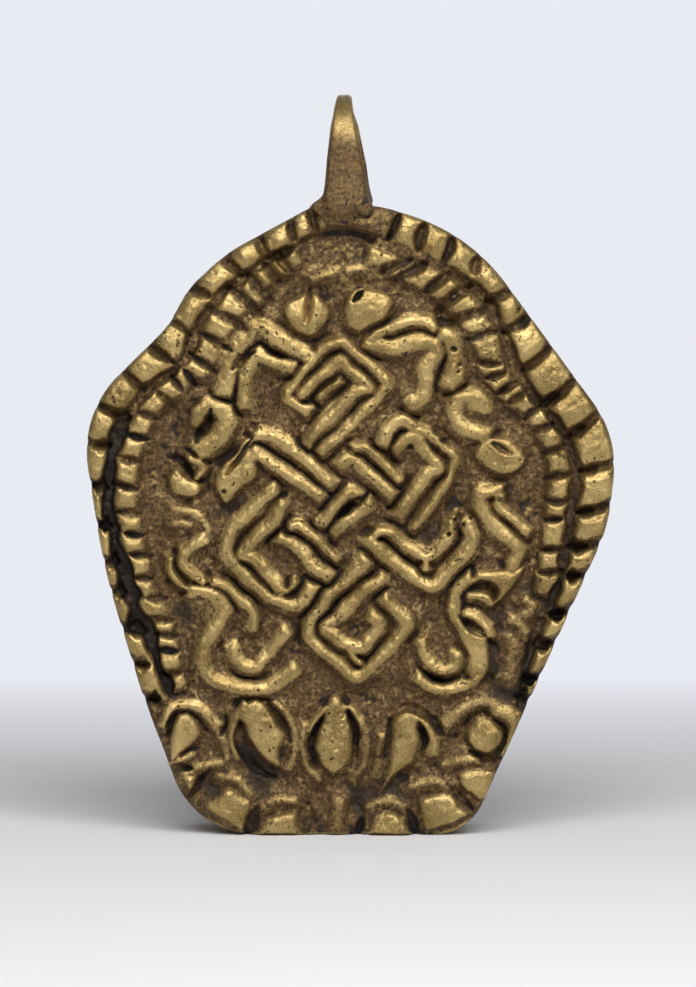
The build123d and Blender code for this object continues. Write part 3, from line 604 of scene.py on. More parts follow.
def plate(sheet, edge, front, back):
    """Points and faces of a closed plate, cut from a sheet where edge is positive."""
    middle = (edge[:-1, :-1] + edge[1:, :-1] + edge[:-1, 1:] + edge[1:, 1:]) / 4
    kept = np.pad(middle > 0, 1)
    around = [kept[:-1, :-1], kept[:-1, 1:], kept[1:, :-1], kept[1:, 1:]]
    used = np.logical_or.reduce(around)
    rim = used & ~np.logical_and.reduce(around)
    slope_v, slope_u = np.gradient(edge, sheet.step)
    shift = np.where(rim, edge / (slope_u ** 2 + slope_v ** 2 + 1e-6), 0.0)
    index = np.full(edge.shape, -1)
    index[used] = np.arange(used.sum())
    u = (sheet.u - shift * slope_u)[used]
    v = (sheet.v - shift * slope_v)[used]
    top = np.stack([u, v, front[used]], axis=1)

    cells = kept[1:-1, 1:-1]
    row, column = np.nonzero(cells)
    quads = np.stack([index[row, column], index[row, column + 1], index[row + 1, column + 1],
                      index[row + 1, column]], axis=1)
    follow = {}
    for free, start, end in (
        (~kept[:-2, 1:-1], (0, 0), (0, 1)),
        (~kept[1:-1, 2:], (0, 1), (1, 1)),
        (~kept[2:, 1:-1], (1, 1), (1, 0)),
        (~kept[1:-1, :-2], (1, 0), (0, 0)),
    ):
        row, column = np.nonzero(cells & free)
        starts = index[row + start[0], column + start[1]]
        ends = index[row + end[0], column + end[1]]
        follow.update(zip(starts.tolist(), ends.tolist()))
    loop = [next(iter(follow))]
    while follow[loop[-1]] != loop[0]:
        loop.append(follow[loop[-1]])

    under = top[loop].copy()
    under[:, 2] = back
    first = len(top)
    count = len(loop)
    sides = [
        (loop[k], first + k, first + (k + 1) % count, loop[(k + 1) % count]) for k in range(count)
    ]
    cap = [tuple(range(first + count - 1, first - 1, -1))]
    return np.vstack([top, under]), quads.tolist() + sides + cap, used, len(quads)


def loft(rings, closed):
    """Points and faces through rings of points, joined end to end or capped."""
    count, size = rings.shape[:2]
    faces = []
    for k in range(count if closed else count - 1):
        here = k * size
        there = (k + 1) % count * size
        faces += [(here + j, here + (j + 1) % size, there + (j + 1) % size, there + j) for j in range(size)]
    if not closed:
        faces.append(tuple(range(size - 1, -1, -1)))
        faces.append(tuple(range((count - 1) * size, count * size)))
    return rings.reshape(-1, 3), faces


def to_frame(points, from_behind=False):
    """Relief coordinates in millimetres to the frame in metres."""
    u, v, w = np.asarray(points, dtype=float).T
    side = -1.0 if from_behind else 1.0
    return np.stack([side * u, -side * w, v + BOTTOM], axis=1) * MM


def piece(name, points, faces, body, node, material, sharp=None):
    """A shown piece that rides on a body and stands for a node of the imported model."""
    mesh = bpy.data.meshes.new(name)
    mesh.from_pydata(points.tolist(), [], faces)
    shell = bmesh.new()
    shell.from_mesh(mesh)
    bmesh.ops.recalc_face_normals(shell, faces=shell.faces)
    shell.to_mesh(mesh)
    shell.free()
    mesh.shade_smooth()
    if sharp:
        mesh.set_sharp_from_angle(angle=math.radians(sharp))
    mesh.materials.append(material)
    made = bpy.data.objects.new(name, mesh)
    bpy.context.collection.objects.link(made)
    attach(made, body)
    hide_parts(node)
    return made


def point_values(made, name, values):
    """Keep a number per point for the material to read."""
    layer = made.data.attributes.new(name, "FLOAT", "POINT")
    layer.data.foreach_set("value", np.asarray(values, dtype=np.float32))


# Materials

class Value:
    """A number or colour that varies over a surface; arithmetic on it adds nodes to its tree."""

    def __init__(self, node, output=0):
        self.tree = node.id_data
        self.socket = node.outputs[output]

    def maths(self, operation, other=0.0):
        """The result of an operation on this value and another."""
        return Value(add(self.tree, "ShaderNodeMath", {0: self, 1: other}, operation=operation))

    def __add__(self, other):
        return self.maths("ADD", other)

    def __sub__(self, other):
        return self.maths("SUBTRACT", other)

    def __mul__(self, other):
        return self.maths("MULTIPLY", other)

    def ranged(self, low, high, to_low=0.0, to_high=1.0):
        """The value carried from one range to another and held there."""
        ends = {"Value": self, "From Min": low, "From Max": high, "To Min": to_low, "To Max": to_high}
        return Value(add(self.tree, "ShaderNodeMapRange", ends))

    def mixed(self, first, second):
        """A colour between two others; this value is the share of the second."""
        return Value(add(self.tree, "ShaderNodeMix", {0: self, 6: first, 7: second}, data_type="RGBA"), 2)


def add(tree, kind, inputs=None, **settings):
    """Add a node, set its properties and set or link its inputs."""
    node = tree.nodes.new(kind)
    for name, value in settings.items():
        setattr(node, name, value)
    feed(node, inputs or {})
    return node


def feed(node, inputs):
    """Set a node's inputs, or link them where a value varies."""
    for name, value in inputs.items():
        if isinstance(value, Value):
            value.tree.links.new(value.socket, node.inputs[name])
        else:
            node.inputs[name].default_value = value


def own_place(tree):
    """A place in the piece's own coordinates, in metres."""
    return Value(add(tree, "ShaderNodeTexCoord"), "Object")


def along_axis(tree, axis):
    """The piece's own X, Y or Z, in metres."""
    return Value(add(tree, "ShaderNodeSeparateXYZ", {0: own_place(tree)}), axis)


def metres_up(*heights):
    """Heights above the bottom edge in millimetres, as Z in metres."""
    return [(height + BOTTOM) * MM for height in heights]


def noise(tree, scale, detail=3.0, stretch=None, distortion=0.0, turn=(0.0, 0.0, 0.0)):
    """A noise value in the piece's own coordinates; scale is grains per metre."""
    place = own_place(tree)
    if stretch:
        place = Value(add(tree, "ShaderNodeMapping", {"Vector": place, "Rotation": turn, "Scale": stretch}))
    inputs = {"Vector": place, "Scale": scale, "Detail": detail, "Distortion": distortion}
    return Value(add(tree, "ShaderNodeTexNoise", inputs))


def new_material(name):
    """An empty material with its node tree and main shader."""
    material = bpy.data.materials.new(name)
    material.use_nodes = True
    tree = material.node_tree
    return material, tree, tree.nodes["Principled BSDF"]


def bumped(shader, height, distance, strength=1.0):
    """Bump the shader by a height; distance is in metres."""
    inputs = {"Height": height, "Distance": distance, "Strength": strength}
    feed(shader, {"Normal": Value(add(height.tree, "ShaderNodeBump", inputs))})


# Brass: colours, strength of the grime and depth of the bump in metres
GOLD = (0.23, 0.156, 0.053, 1)
PALE_GOLD = (0.64, 0.465, 0.195, 1)
BROWN = (0.175, 0.102, 0.037, 1)
DARK_BROWN = (0.066, 0.036, 0.016, 1)
CHARCOAL = (0.024, 0.017, 0.013, 1)
GRIME = 0.28
BRASS_BUMP = 0.0001

# The loop's brushed crown, painted highlight band and pitted foot: heights from, to
CROWN = (54.0, 54.4)
PAINTED_HIGHLIGHT_BAND = (51.5, 53.0)
PITTED_FOOT = (49.4, 47.2)

# Polish added on the loop's painted highlight band and on its crown
PAINTED_HIGHLIGHT_SHARE, CROWN_SHARE = 0.46, 0.3


def cast_pits(tree):
    """1 in ragged casting pits, which lie in clusters, and 0 elsewhere."""
    holes = noise(tree, scale=2700, detail=2.0, distortion=0.6)
    cluster = noise(tree, scale=240, detail=2.0)
    return (holes + cluster * 0.35).ranged(0.84, 0.9)


def worn_brass(name, polish, soot, bump=0.8, satin_end=0.47):
    """Brass that is bright where it is rubbed, brown where it isn't and black in the hollows; on the face and
    loop its polish and soot also hold painted light and shade.
    """
    material, tree, shader = new_material(name)
    blotch = noise(tree, scale=420, detail=4.0)
    speck = noise(tree, scale=9000, detail=2.0)
    grit = noise(tree, scale=4200, detail=3.0)
    scuffs = noise(tree, scale=900, detail=5.0, stretch=(1.0, 1.0, 9.0))
    holes = cast_pits(tree) * bump
    rubbed = polish(tree) + grit.ranged(0.3, 0.7, -GRIME * bump, GRIME * bump)
    rubbed = rubbed.ranged(0.1, 0.85)
    bright = (speck * 0.42 + blotch * 0.58).ranged(0.36, 0.66).mixed(GOLD, PALE_GOLD)
    dull = grit.ranged(0.32, 0.66).mixed(DARK_BROWN, BROWN)
    dark = soot(tree).ranged(0.15, 0.85).maths("MAXIMUM", holes)
    feed(shader, {
        "Base Color": dark.mixed(rubbed.mixed(dull, bright), CHARCOAL),
        "Metallic": rubbed.ranged(0.0, 1.0, 0.6, 1.0),
        "Roughness": rubbed.ranged(0.0, 1.0, 0.62, satin_end) + scuffs.ranged(0.35, 0.7, -0.05, 0.1),
    })
    grainy = (speck * 0.4 + grit * 0.8) * rubbed.ranged(0.0, 1.0, 1.0, 0.8)
    bumped(shader, grainy - holes * 1.5, BRASS_BUMP, bump)
    return material


def attribute(name):
    """A per-point value as a material input."""
    return lambda tree: Value(add(tree, "ShaderNodeAttribute", attribute_name=name), "Fac")


def patches(scale, *ends):
    """Noise patches as a material input."""
    return lambda tree: noise(tree, scale, detail=5.0, distortion=0.4).ranged(*ends)


def loop_polish_and_painted_highlight(tree):
    """Polish of the loop: painted shade on the duller body below, a painted highlight band above, and streaks
    where its crown was brushed.
    """
    height = along_axis(tree, "Z")
    crown = height.ranged(*metres_up(*CROWN))
    # Painted highlight: polish raised in a band high on the loop, so the body below reads as painted shade
    bright = height.ranged(*metres_up(*PAINTED_HIGHLIGHT_BAND))
    streaks = noise(tree, scale=5200, detail=2.0, stretch=(1.0, 0.12, 0.12), turn=(0.0, 0.35, 0.0))
    even = noise(tree, scale=300, detail=5.0).ranged(0.25, 0.75, 0.06, 0.24)
    return even + bright * PAINTED_HIGHLIGHT_SHARE + crown * CROWN_SHARE - crown * streaks.ranged(0.4, 0.56, 0.5, -0.1)


def foot_pits(tree):
    """Soot of the loop: black pits on its foot, none above."""
    low = along_axis(tree, "Z").ranged(*metres_up(*PITTED_FOOT))
    return low * noise(tree, scale=1700, detail=3.0, distortion=0.5).ranged(0.56, 0.62)


def woven_cloth(name, dark, light, pitch):
    """Plain-woven cloth with thread-size bump; pitch is two threads, in metres."""
    material, tree, shader = new_material(name)
    warp, weft = ((along_axis(tree, axis) * (2 * math.pi / pitch)).maths("SINE") for axis in "XZ")
    weave = warp * weft
    stain = noise(tree, scale=350, detail=4.0).ranged(0.4, 0.75, 0.0, 0.6)
    feed(shader, {
        "Base Color": stain.mixed(weave.ranged(-1.0, 1.0).mixed(dark, light), dark),
        "Roughness": noise(tree, scale=3000).ranged(0.3, 0.7, 0.8, 0.95),
        "Sheen Weight": 0.4,
    })
    bumped(shader, weave, distance=0.00006)
    return material


def fibre_paper(name, dark, pale, foxed):
    """Hand-made paper with long fibres and patches of foxing."""
    material, tree, shader = new_material(name)
    fibres = noise(tree, scale=1500, detail=6.0, stretch=(1.0, 1.0, 0.12))
    foxing = noise(tree, scale=260, detail=4.0).ranged(0.55, 0.8, 0.0, 0.6)
    feed(shader, {
        "Base Color": foxing.mixed(fibres.ranged(0.35, 0.7).mixed(dark, pale), foxed),
        "Roughness": fibres.ranged(0.3, 0.7, 0.75, 0.95),
    })
    bumped(shader, fibres, distance=0.00005)
    return material


def cotton_thread(name, dark, light):
    """Twisted cotton thread."""
    material, tree, shader = new_material(name)
    fibres = noise(tree, scale=6000, detail=3.0, stretch=(1.0, 1.0, 0.3))
    feed(shader, {
        "Base Color": fibres.ranged(0.3, 0.7).mixed(dark, light),
        "Roughness": fibres.ranged(0.3, 0.7, 0.7, 0.95),
        "Sheen Weight": 0.5,
    })
    bumped(shader, fibres, distance=0.00003)
    return material


# The cast face: the case outline, and the lower corners of the field inside the groove
CASE_LINE = rounded_outline()
FIELD_FOOT = [(12.0, 10.4), (-13.2, 10.4)]

# Dips between strands that come close
SWELL = 0.3
SWELL_REACH = 0.8
VALLEY_DEPTH = 0.5
VALLEY_SOOT = 0.85
VALLEY_MIDDLE = (0.36, 0.04)
VALLEY_GAP = (1.3, 0.75)
VALLEY_EDGE = (-0.15, 0.1)


def raise_ornament(sheet):
    """Knot, scrolls, arches and bosses, with black valleys where two of them come close."""
    for strands, height, boxy in (
        (KNOT, KNOT_HEIGHT, ROUNDNESS),
        (SCROLLS, SCROLL_HEIGHT, ROUNDNESS),
        (ARCHES, ARCH_HEIGHT, ARCH_ROUNDNESS),
    ):
        for width, points in strands:
            sheet.ridge(width, points, height, boxy, STRAND_DROP, STRAND_RUBBED)
    for flank, corners in BOSSES:
        sheet.boss(flank, corners, BOSS_HEIGHT)
    gap = np.maximum(sheet.nearest, 0.0) + np.maximum(sheet.second, 0.0)
    between = smooth(*VALLEY_MIDDLE, sheet.second - sheet.nearest)
    valley = between * smooth(*VALLEY_GAP, gap) * smooth(*VALLEY_EDGE, sheet.nearest)
    for width, points in LOW_RIDGES:
        sheet.ridge(width, points, LOW_HEIGHT)
    sheet.height += SWELL * blurred(sheet.height, SWELL_REACH / GRID_STEP) * (1.0 - sheet.height)
    sheet.height -= VALLEY_DEPTH * valley
    lift(sheet.soot, VALLEY_SOOT * valley)


# Rim and base: where they fade in or out, the rim's tilt at the top and its pillow shape
RIM_FOOT = 0.28
RIM_EDGE = 0.1
RIM_FADE = 0.07
RIM_TILT = 0.4
RIM_PILLOW = 0.25
RIM_RUBBED = 0.3
RIM_RUB = (0.1, 0.5)
RIM_RUB_UP = (18.0, 30.0)
RIM_START = (9.4, 10.6)
RIM_BREADTH = (4.0, 3.2)
LEAST_BREADTH = 0.2
TILTED_UP = (31.0, 35.0)
BASE_REACH = (3.2, 1.0)
BASE_TOP = (7.0, 4.5)


def raise_rim(sheet, edge, outside):
    """The rim, tilted back at the top, the low base below it and the bead border beside it."""
    upper = smooth(*TILTED_UP, sheet.v)
    lift(sheet.rubbed, RIM_RUBBED * smooth(*RIM_RUB, outside) * smooth(*RIM_RUB_UP, sheet.v))
    softness = RIM_EDGE + RIM_FADE * upper
    rim = RIM_HEIGHT / (1.0 + np.exp(-(outside - RIM_FOOT) / softness)) * smooth(*RIM_START, sheet.v)
    across = outside / np.maximum(outside + edge, LEAST_BREADTH)
    rim *= smooth(*RIM_BREADTH, edge)
    rim -= RIM_TILT * upper * np.clip(across, 0.0, 1.0) ** 2
    rim *= 1.0 - RIM_PILLOW * np.clip(2.0 * across - 1.0, -1.0, 1.0) ** 2
    base = BASE_HEIGHT * smooth(*BASE_REACH, edge) * smooth(*BASE_TOP, sheet.v)
    lift(sheet.height, np.maximum(rim, base))
    for width, points in BEAD_BANDS:
        sheet.ridge(width, points, BEAD_HEIGHT, boxy=BEAD_ROUNDNESS)


# Groove: wide and black down the left side, a thin line on the right, filled beside the loop
GROOVE_HALF_WIDTH = 0.3
GROOVE_DEPTH = 0.1
GROOVE_FLOOR = 0.6
GROOVE_EDGE = 0.05
LEFT_EXTRA = 0.1
RAGGED = 0.12
LOW_SIDE = (33.0, 29.0)
LEFT_HALF = (1.0, -1.0)
FILLED_FROM = (1.3, 2.1)
FILLED_TO = (8.5, 6.0)
FILLED_UP = (40.5, 42.0)
FILL_HEIGHT = 0.55
FILL_GAP = (1.0, 0.4)
CHANNEL_GAP = (0.9, 0.6)
CHANNEL_HEIGHT = (0.6, 0.3)
LOOP_MIDDLE = -0.3
UNDER_LOOP = ((2.2, 1.2), (42.5, 43.5))
LINE_GAP = (0.3, 0.14)
LINE_SOOT = 0.18
LOW_LINE_SOOT = 0.4
LOOP_LINE_SOOT = 0.7


def sink_groove(sheet, groove_line):
    """The groove between the rim and the beads, and the soot in it."""
    gap, _ = route_distance(groove_line, sheet.cast_u, sheet.cast_v)
    low_side = smooth(*LOW_SIDE, sheet.v)
    left_side = sheet.zone(LEFT_HALF, LOW_SIDE)
    spread = np.interp(sheet.v, *zip(*LEFT_GROOVE)) - GROOVE_HALF_WIDTH
    ragged = gap + RAGGED * grain(sheet.shape, size=3.5, draw=22)
    reach = GROOVE_HALF_WIDTH + (spread + LEFT_EXTRA) * left_side
    trough = smooth(reach + GROOVE_EDGE, GROOVE_FLOOR * reach, ragged)
    filled = smooth(*FILLED_FROM, sheet.u) * smooth(*FILLED_TO, sheet.u) * smooth(*FILLED_UP, sheet.v)
    lift(sheet.height, FILL_HEIGHT * filled * smooth(*FILL_GAP, gap))
    trough *= 1.0 - filled
    sheet.height = sheet.height * (1.0 - trough) - GROOVE_DEPTH * trough
    channel = smooth(*CHANNEL_GAP, ragged) * smooth(*CHANNEL_HEIGHT, sheet.height) * left_side
    under_loop = sheet.zone(*UNDER_LOOP, middle=LOOP_MIDDLE)
    line_soot = LINE_SOOT + LOW_LINE_SOOT * low_side + LOOP_LINE_SOOT * under_loop
    sheet.crack = np.maximum(smooth(*LINE_GAP, gap) * line_soot, channel)


# Rim notches: a wide soft fall beside a sharp cut, flared towards the groove on the lower sides
TOOTH_ROUND = 1.9
TOOTH_FALL = 0.22
TOOTH_LENS = 0.2
NOTCH_WIDTH = 0.75
NOTCH_DEPTH = 0.75
NOTCH_LENS = 0.3
NOTCH_RUN = 0.25
NOTCH_FLARE = 1.0
WORN_FLARE = 0.4
FLARED_BELOW = 33.0
WORN_LEFT = (0.0, -1.0)
WORN_LOW = (24.0, 20.0)
NOTCH_SOOT = 0.3
WORN_SOOT = 0.55
WORN_SOOT_UP = (34.0, 30.0)
NICK = 0.04
NICK_REACH = 0.5


def cut_notches(sheet, edge):
    """Notches between the rim teeth, which also nick the outer edge."""
    for outer, inner in np.array(RIM_NOTCHES):
        route = np.array([outer + NOTCH_RUN * (outer - inner), inner])
        worn = max(smooth(*WORN_LEFT, inner[0]), smooth(*WORN_LOW, inner[1]))
        black = NOTCH_SOOT + WORN_SOOT * (smooth(*WORN_SOOT_UP, inner[1]) * worn)
        sheet.slit(TOOTH_ROUND, route, TOOTH_FALL, black=0.0, lens=TOOTH_LENS)
        sheet.slit(NOTCH_WIDTH, route, NOTCH_DEPTH, black, NOTCH_LENS)
        if inner[1] < FLARED_BELOW:
            flare = [(outer + inner) / 2, inner]
            sheet.slit(NOTCH_FLARE + WORN_FLARE * worn, flare, NOTCH_DEPTH, black, NOTCH_LENS)
        patch = sheet.patch(route, 2 * NICK_REACH)
        gap, _ = route_distance(route, sheet.u[patch], sheet.v[patch])
        edge[patch] -= NICK * np.clip(1.0 - gap / NICK_REACH, 0.0, 1.0)


# Bead slits: longer, wider and less black towards the top, where the beads are worn
BEAD_ROUND = 1.2
BEAD_FALL = 0.15
BEAD_WORN_UP = (36.0, 39.0)
BEAD_WORN_RIGHT = (0.0, 2.0)
BEAD_RUN = 0.3
BEAD_WIDENED = 0.35
BEAD_LENS_LOST = 0.3
BEAD_SOOT = 0.85
BEAD_SOOT_LOST = 0.4


def cut_beads(sheet):
    """Slits that part the bead border into beads."""
    for outer, inner in np.array(BEAD_SLITS):
        worn = smooth(*BEAD_WORN_UP, inner[1])
        reach = BEAD_RUN * worn * (inner - outer)
        ends = [outer - reach, inner + reach]
        black = BEAD_SOOT - BEAD_SOOT_LOST * max(worn, smooth(*BEAD_WORN_RIGHT, inner[0]))
        sheet.slit(BEAD_ROUND, ends, BEAD_FALL, black=0.0, lens=TOOTH_LENS)
        width = SLIT_WIDTH + BEAD_WIDENED * worn
        sheet.slit(width, ends, SLIT_DEPTH, black, SLIT_LENS - BEAD_LENS_LOST * worn)


def carved_relief():
    """The relief's height above its ground, and the distance inside the case outline."""
    sheet = Sheet(GRID_STEP)
    edge = depth_within(CASE_LINE, sheet.u, sheet.v)
    groove_line = smooth_route(GROOVE)
    field = np.vstack([groove_line, FIELD_FOOT])
    raise_ornament(sheet)
    raise_rim(sheet, edge, -depth_within(field, sheet.u, sheet.v))
    sink_groove(sheet, groove_line)
    cut_notches(sheet, edge)
    cut_beads(sheet)
    for width, points in SLITS:
        sheet.slit(width, points, SLIT_DEPTH, black=1.0)
    return sheet, edge


# Weathering: layers of cast grain, pin-holes, pits and the worn outer edge
RAISED = (0.35, 0.8)
GROUND_GRAIN = [(0.04, 1.2, 0), (0.09, 5.0, 1)]
CREST_GRAIN = [(0.035, 5.0, 2), (0.016, 1.3, 3)]
PIN_GRAIN = [(1.0, 1.1, 12), (0.5, 14.0, 13)]
PIN_LIMITS = (2.2, 3.0)
PIN_DEPTH = 0.09
PIT_SHARE = 0.8
PIT_DEPTH = 0.3
LEAST_THICKNESS = 0.25
EDGE_ROUND = 0.35
EDGE_DROP = 0.32
WORN_CORNER = ((-7.5, -9.5), (8.0, 5.5))
CORNER_WEAR = 0.45


def weathered(sheet, edge):
    """Cast grain, pin-holes and pits on the relief, and the worn outer edge."""
    raised = smooth(*RAISED, sheet.height)
    sheet.height = blurred(sheet.height, size=0.5)
    sheet.height += (1.0 - raised) * grains(sheet.shape, GROUND_GRAIN)
    sheet.height += raised * grains(sheet.shape, CREST_GRAIN)
    sheet.height -= PIN_DEPTH * smooth(*PIN_LIMITS, grains(sheet.shape, PIN_GRAIN))
    for u, v, radius in PITS:
        sheet.pit(u, v, PIT_SHARE * radius, PIT_DEPTH)
    lift(sheet.height, FACE_BACK - GROUND + LEAST_THICKNESS)
    corner = sheet.zone(*WORN_CORNER)
    away = np.clip(edge / (EDGE_ROUND + CORNER_WEAR * corner), 0.0, 1.0)
    return sheet.height - (EDGE_DROP + CORNER_WEAR * corner) * (1.0 - away) ** 2


# Polish: what counts as a crest, and glints of given strength, grain size, draw and limits
BRIGHT = (0.56, 1.0)
CREST_REACH = 0.8
CREST_SHARE = 0.45
# Painted light and shade: polish raised on upper flanks and lowered on lower flanks, as if lit from above
PAINTED_FLANK_SHADING = 0.32
GLINTS = [(0.22, 5.0, 1, (0.2, 1.6)), (0.4, 1.2, 0, (0.6, 1.9))]
# Painted shade: the ground gets duller towards the bottom of the face
LOW_GROUND_PAINTED_SHADE = 0.4
LOW_GROUND_SHADE_UP = (7.0, 2.0)
LOW_GROUND_SHADE_HEIGHT = (0.8, 0.5)
SPECKS = 0.55
SPECKS_UP = (39.5, 42.0)
SPECK_LIMITS = (0.3, 1.4)
FOOT_MIDDLE = 0.3
NEAR_FOOT = ((4.2, 2.8), (44.2, 45.2))
FOOT_DULL = 0.5
FOOT_MOTTLE = 0.4
MOTTLE_LIMITS = (-0.4, 0.6)
BRIGHT_LIP = 0.8
LIP_DEPTH = (0.35, 0.1)
LIP_UP = (1.6, 0.8)


def face_polish_and_painted_shade(sheet, edge, plain):
    """How far each place of the face is rubbed bright, with painted light and shade on the flanks and painted
    shade on the low ground near the bottom.
    """
    slope = np.gradient(blurred(plain, size=1.5), GRID_STEP, axis=0)
    crest = plain - blurred(plain, CREST_REACH / GRID_STEP)
    # Painted light and shade: by their slope, upper flanks come out brighter and lower flanks duller
    polish = smooth(*BRIGHT, plain + sheet.rubbed + CREST_SHARE * crest - PAINTED_FLANK_SHADING * slope)
    # Painted shade: less polish on the low ground near the bottom
    polish *= 1.0 - LOW_GROUND_PAINTED_SHADE * smooth(*LOW_GROUND_SHADE_UP, sheet.v) * smooth(*LOW_GROUND_SHADE_HEIGHT, plain)
    for strength, size, draw, limits in GLINTS:
        lift(polish, strength * smooth(*limits, grain(plain.shape, size, draw)))
    specks = smooth(*SPECKS_UP, sheet.v) * smooth(*SPECK_LIMITS, grain(plain.shape, size=1.6, draw=9))
    lift(polish, SPECKS * specks)
    mottle = smooth(*MOTTLE_LIMITS, grain(plain.shape, size=1.8, draw=14))
    polish *= 1.0 - sheet.zone(*NEAR_FOOT, middle=FOOT_MIDDLE) * (FOOT_DULL + FOOT_MOTTLE * mottle)
    lift(polish, BRIGHT_LIP * (smooth(*LIP_DEPTH, edge) * smooth(*LIP_UP, sheet.v)))
    return polish


# Soot: in hollows, in murky patches, in cracks, pits and pin-holes; the murk also holds painted shade that
# darkens the ground low on the face
HOLLOW_SOOT = 0.5
HOLLOW_REACH = 0.3
HOLLOW_DEPTH = (0.12, 0.3)
MURK_AND_LOW_SHADE_SOOT = 0.75
MURK_LIMITS = (0.5, 2.0)
MURK_HEIGHT = (0.5, 0.3)
# Painted shade: the murk grows towards the bottom of the face
LOW_PAINTED_SHADE_UP = (9.0, 2.0)
MURK_CORNER = ((8.5, 12.0), (24.0, 18.0))
MURK_CORNER_SHARE = 1.6
PIT_SOOT = 0.8
PIT_SHALLOW = 0.1
PIT_LIMITS = (0.04, 0.1)
PIN_SOOT = 0.6
PIN_SOOT_LIMITS = (-1.2, -2.1)
PIN_SOOT_HEIGHT = (0.7, 0.4)


def face_soot_and_painted_shade(sheet, plain):
    """How black each place of the face is, from soot and from painted shade low on the face."""
    patchy = mottled(plain.shape, middle=0.85, spread=0.55, size=6.0, draw=4, limits=(0.15, 1.3))
    broken = mottled(plain.shape, middle=1.1, spread=0.25, size=3.0, draw=7, limits=(0.5, 1.2))
    hollow = blurred(plain, HOLLOW_REACH / GRID_STEP) - plain
    low = MURK_CORNER_SHARE * sheet.zone(*MURK_CORNER)
    # Painted shade: the last term darkens the ground towards the bottom
    cloudy_and_low_shade = grain(plain.shape, size=9.0, draw=6) + low + smooth(*LOW_PAINTED_SHADE_UP, sheet.v)
    murk_and_low_shade = smooth(*MURK_LIMITS, cloudy_and_low_shade)
    pin_holes = smooth(*PIN_SOOT_LIMITS, grain(plain.shape, size=1.2, draw=0))
    soot = patchy * np.maximum(sheet.soot, HOLLOW_SOOT * smooth(*HOLLOW_DEPTH, hollow))
    lift(soot, MURK_AND_LOW_SHADE_SOOT * murk_and_low_shade * smooth(*MURK_HEIGHT, plain))
    lift(soot, sheet.crack * broken)
    lift(soot, PIT_SOOT * smooth(*PIT_LIMITS, plain - sheet.height - PIT_SHALLOW))
    lift(soot, PIN_SOOT * pin_holes * smooth(*PIN_SOOT_HEIGHT, plain))
    return soot


# Texture square of the face: margin and size of the front, then place and size of the back and sides
MAP_MARGIN, MAP_SIZE = 0.01, 0.95
REST_PLACE, REST_SIZE = (0.83, 0.02), 0.16
SIDES_RISE, SIDES_STRETCH = 0.3, 2.0


def planar_map(made, top_faces):
    """Lay the front flat in the texture square and the back and sides beside it."""
    mesh = made.data
    places = np.empty(len(mesh.vertices) * 3)
    mesh.vertices.foreach_get("co", places)
    places = places.reshape(-1, 3)
    low = places.min(axis=0)
    size = places[:, 2].max() - low[2]
    flat = (places[:, [0, 2]] - low[[0, 2]]) / size
    corners = np.empty(len(mesh.loops), dtype=int)
    mesh.loops.foreach_get("vertex_index", corners)
    starts = np.empty(len(mesh.polygons), dtype=int)
    mesh.polygons.foreach_get("loop_start", starts)
    laid = MAP_MARGIN + MAP_SIZE * flat[corners]
    rest, back = starts[top_faces], starts[-1]
    laid[rest:] = REST_PLACE + REST_SIZE * flat[corners[rest:]]
    laid[rest:back, 1] += SIDES_RISE + SIDES_STRETCH * (places[corners[rest:back], 1] - low[1]) / size
    mesh.uv_layers.new(name="OFBake").data.foreach_set("uv", laid.ravel())


# Polish and soot along the face's back edge
BACK_POLISH = 0.35
BACK_SOOT = 0.1


def cast_face():
    """The face with its relief, bright on the crests and black in the hollows, with painted shade on lower
    flanks and towards the bottom.
    """
    sheet, edge = carved_relief()
    plain = sheet.height.copy()
    level = weathered(sheet, edge)
    points, faces, used, top_faces = plate(sheet, edge, GROUND + level, FACE_BACK)
    material = worn_brass("cast_brass", attribute("polish"), attribute("soot"))
    made = piece("relief_face", to_frame(points), faces, "case", "face_casting", material)
    under = np.ones(len(points) - used.sum())
    # The polish and soot values here also hold painted light and shade on the flanks and low on the face
    for name, front, back in (
        ("polish", face_polish_and_painted_shade(sheet, edge, plain), BACK_POLISH),
        ("soot", face_soot_and_painted_shade(sheet, plain), BACK_SOOT),
    ):
        point_values(made, name, np.concatenate([front[used], back * under]))
    planar_map(made, top_faces)


# The hanging loop: its left and right edges, each as height and u
BAIL_LEFT = [
    (45.6, -2.2), (47.0, -2.2), (47.5, -2.1), (48.0, -1.92), (48.55, -1.8), (49.5, -1.7), (50.8, -1.6),
    (52.1, -1.45), (53.5, -1.3), (54.6, -1.15), (55.6, -0.9),
]
BAIL_RIGHT = [
    (45.6, 1.55), (47.0, 1.62), (47.7, 1.5), (48.4, 1.28), (49.2, 1.15), (50.35, 1.0), (51.6, 0.73),
    (53.0, 0.45), (54.35, 0.3), (55.6, 0.15),
]

# The loop's front foot: its outline, then how far forward it stands at each height
BAIL_FOOT = [
    (-1.3, 49.3), (-1.75, 48.6), (-1.95, 48.1), (-2.25, 47.7), (-2.7, 47.4), (-3.2, 47.05), (-2.6, 46.85),
    (-2.2, 46.4), (-1.7, 45.95), (-0.6, 45.7), (0.1, 45.85), (0.6, 46.3), (1.4, 46.25), (1.75, 46.6),
    (1.8, 47.1), (1.55, 47.8), (1.2, 48.5), (0.8, 49.3),
]
FOOT_LEVELS = [(45.5, 4.4), (46.0, 4.58), (46.6, 4.72), (47.35, 4.8), (48.2, 4.68), (49.4, 4.5)]

# The loop's round eye, the shape round it and its wider rear leg
EYE_HEIGHT = -BOTTOM
EYE_RADIUS = 3.0
LOOP_RADIUS = 4.2
LOOP_BASE = 47.35
LOOP_CORNER = 7.0
LOOP_BOXY = 0.35
REAR_LEG_DEPTH = (0.5, -2.0)
REAR_LEG_UP = (54.6, 53.0)
REAR_LEG_RIGHT = 0.3
REAR_LEG_LEFT = 0.4 * REAR_LEG_RIGHT
TINY = 1e-3


def boxed(value):
    """A sine or cosine changed so that a circle becomes a square with round corners."""
    return np.sign(value) * np.abs(value) ** LOOP_BOXY


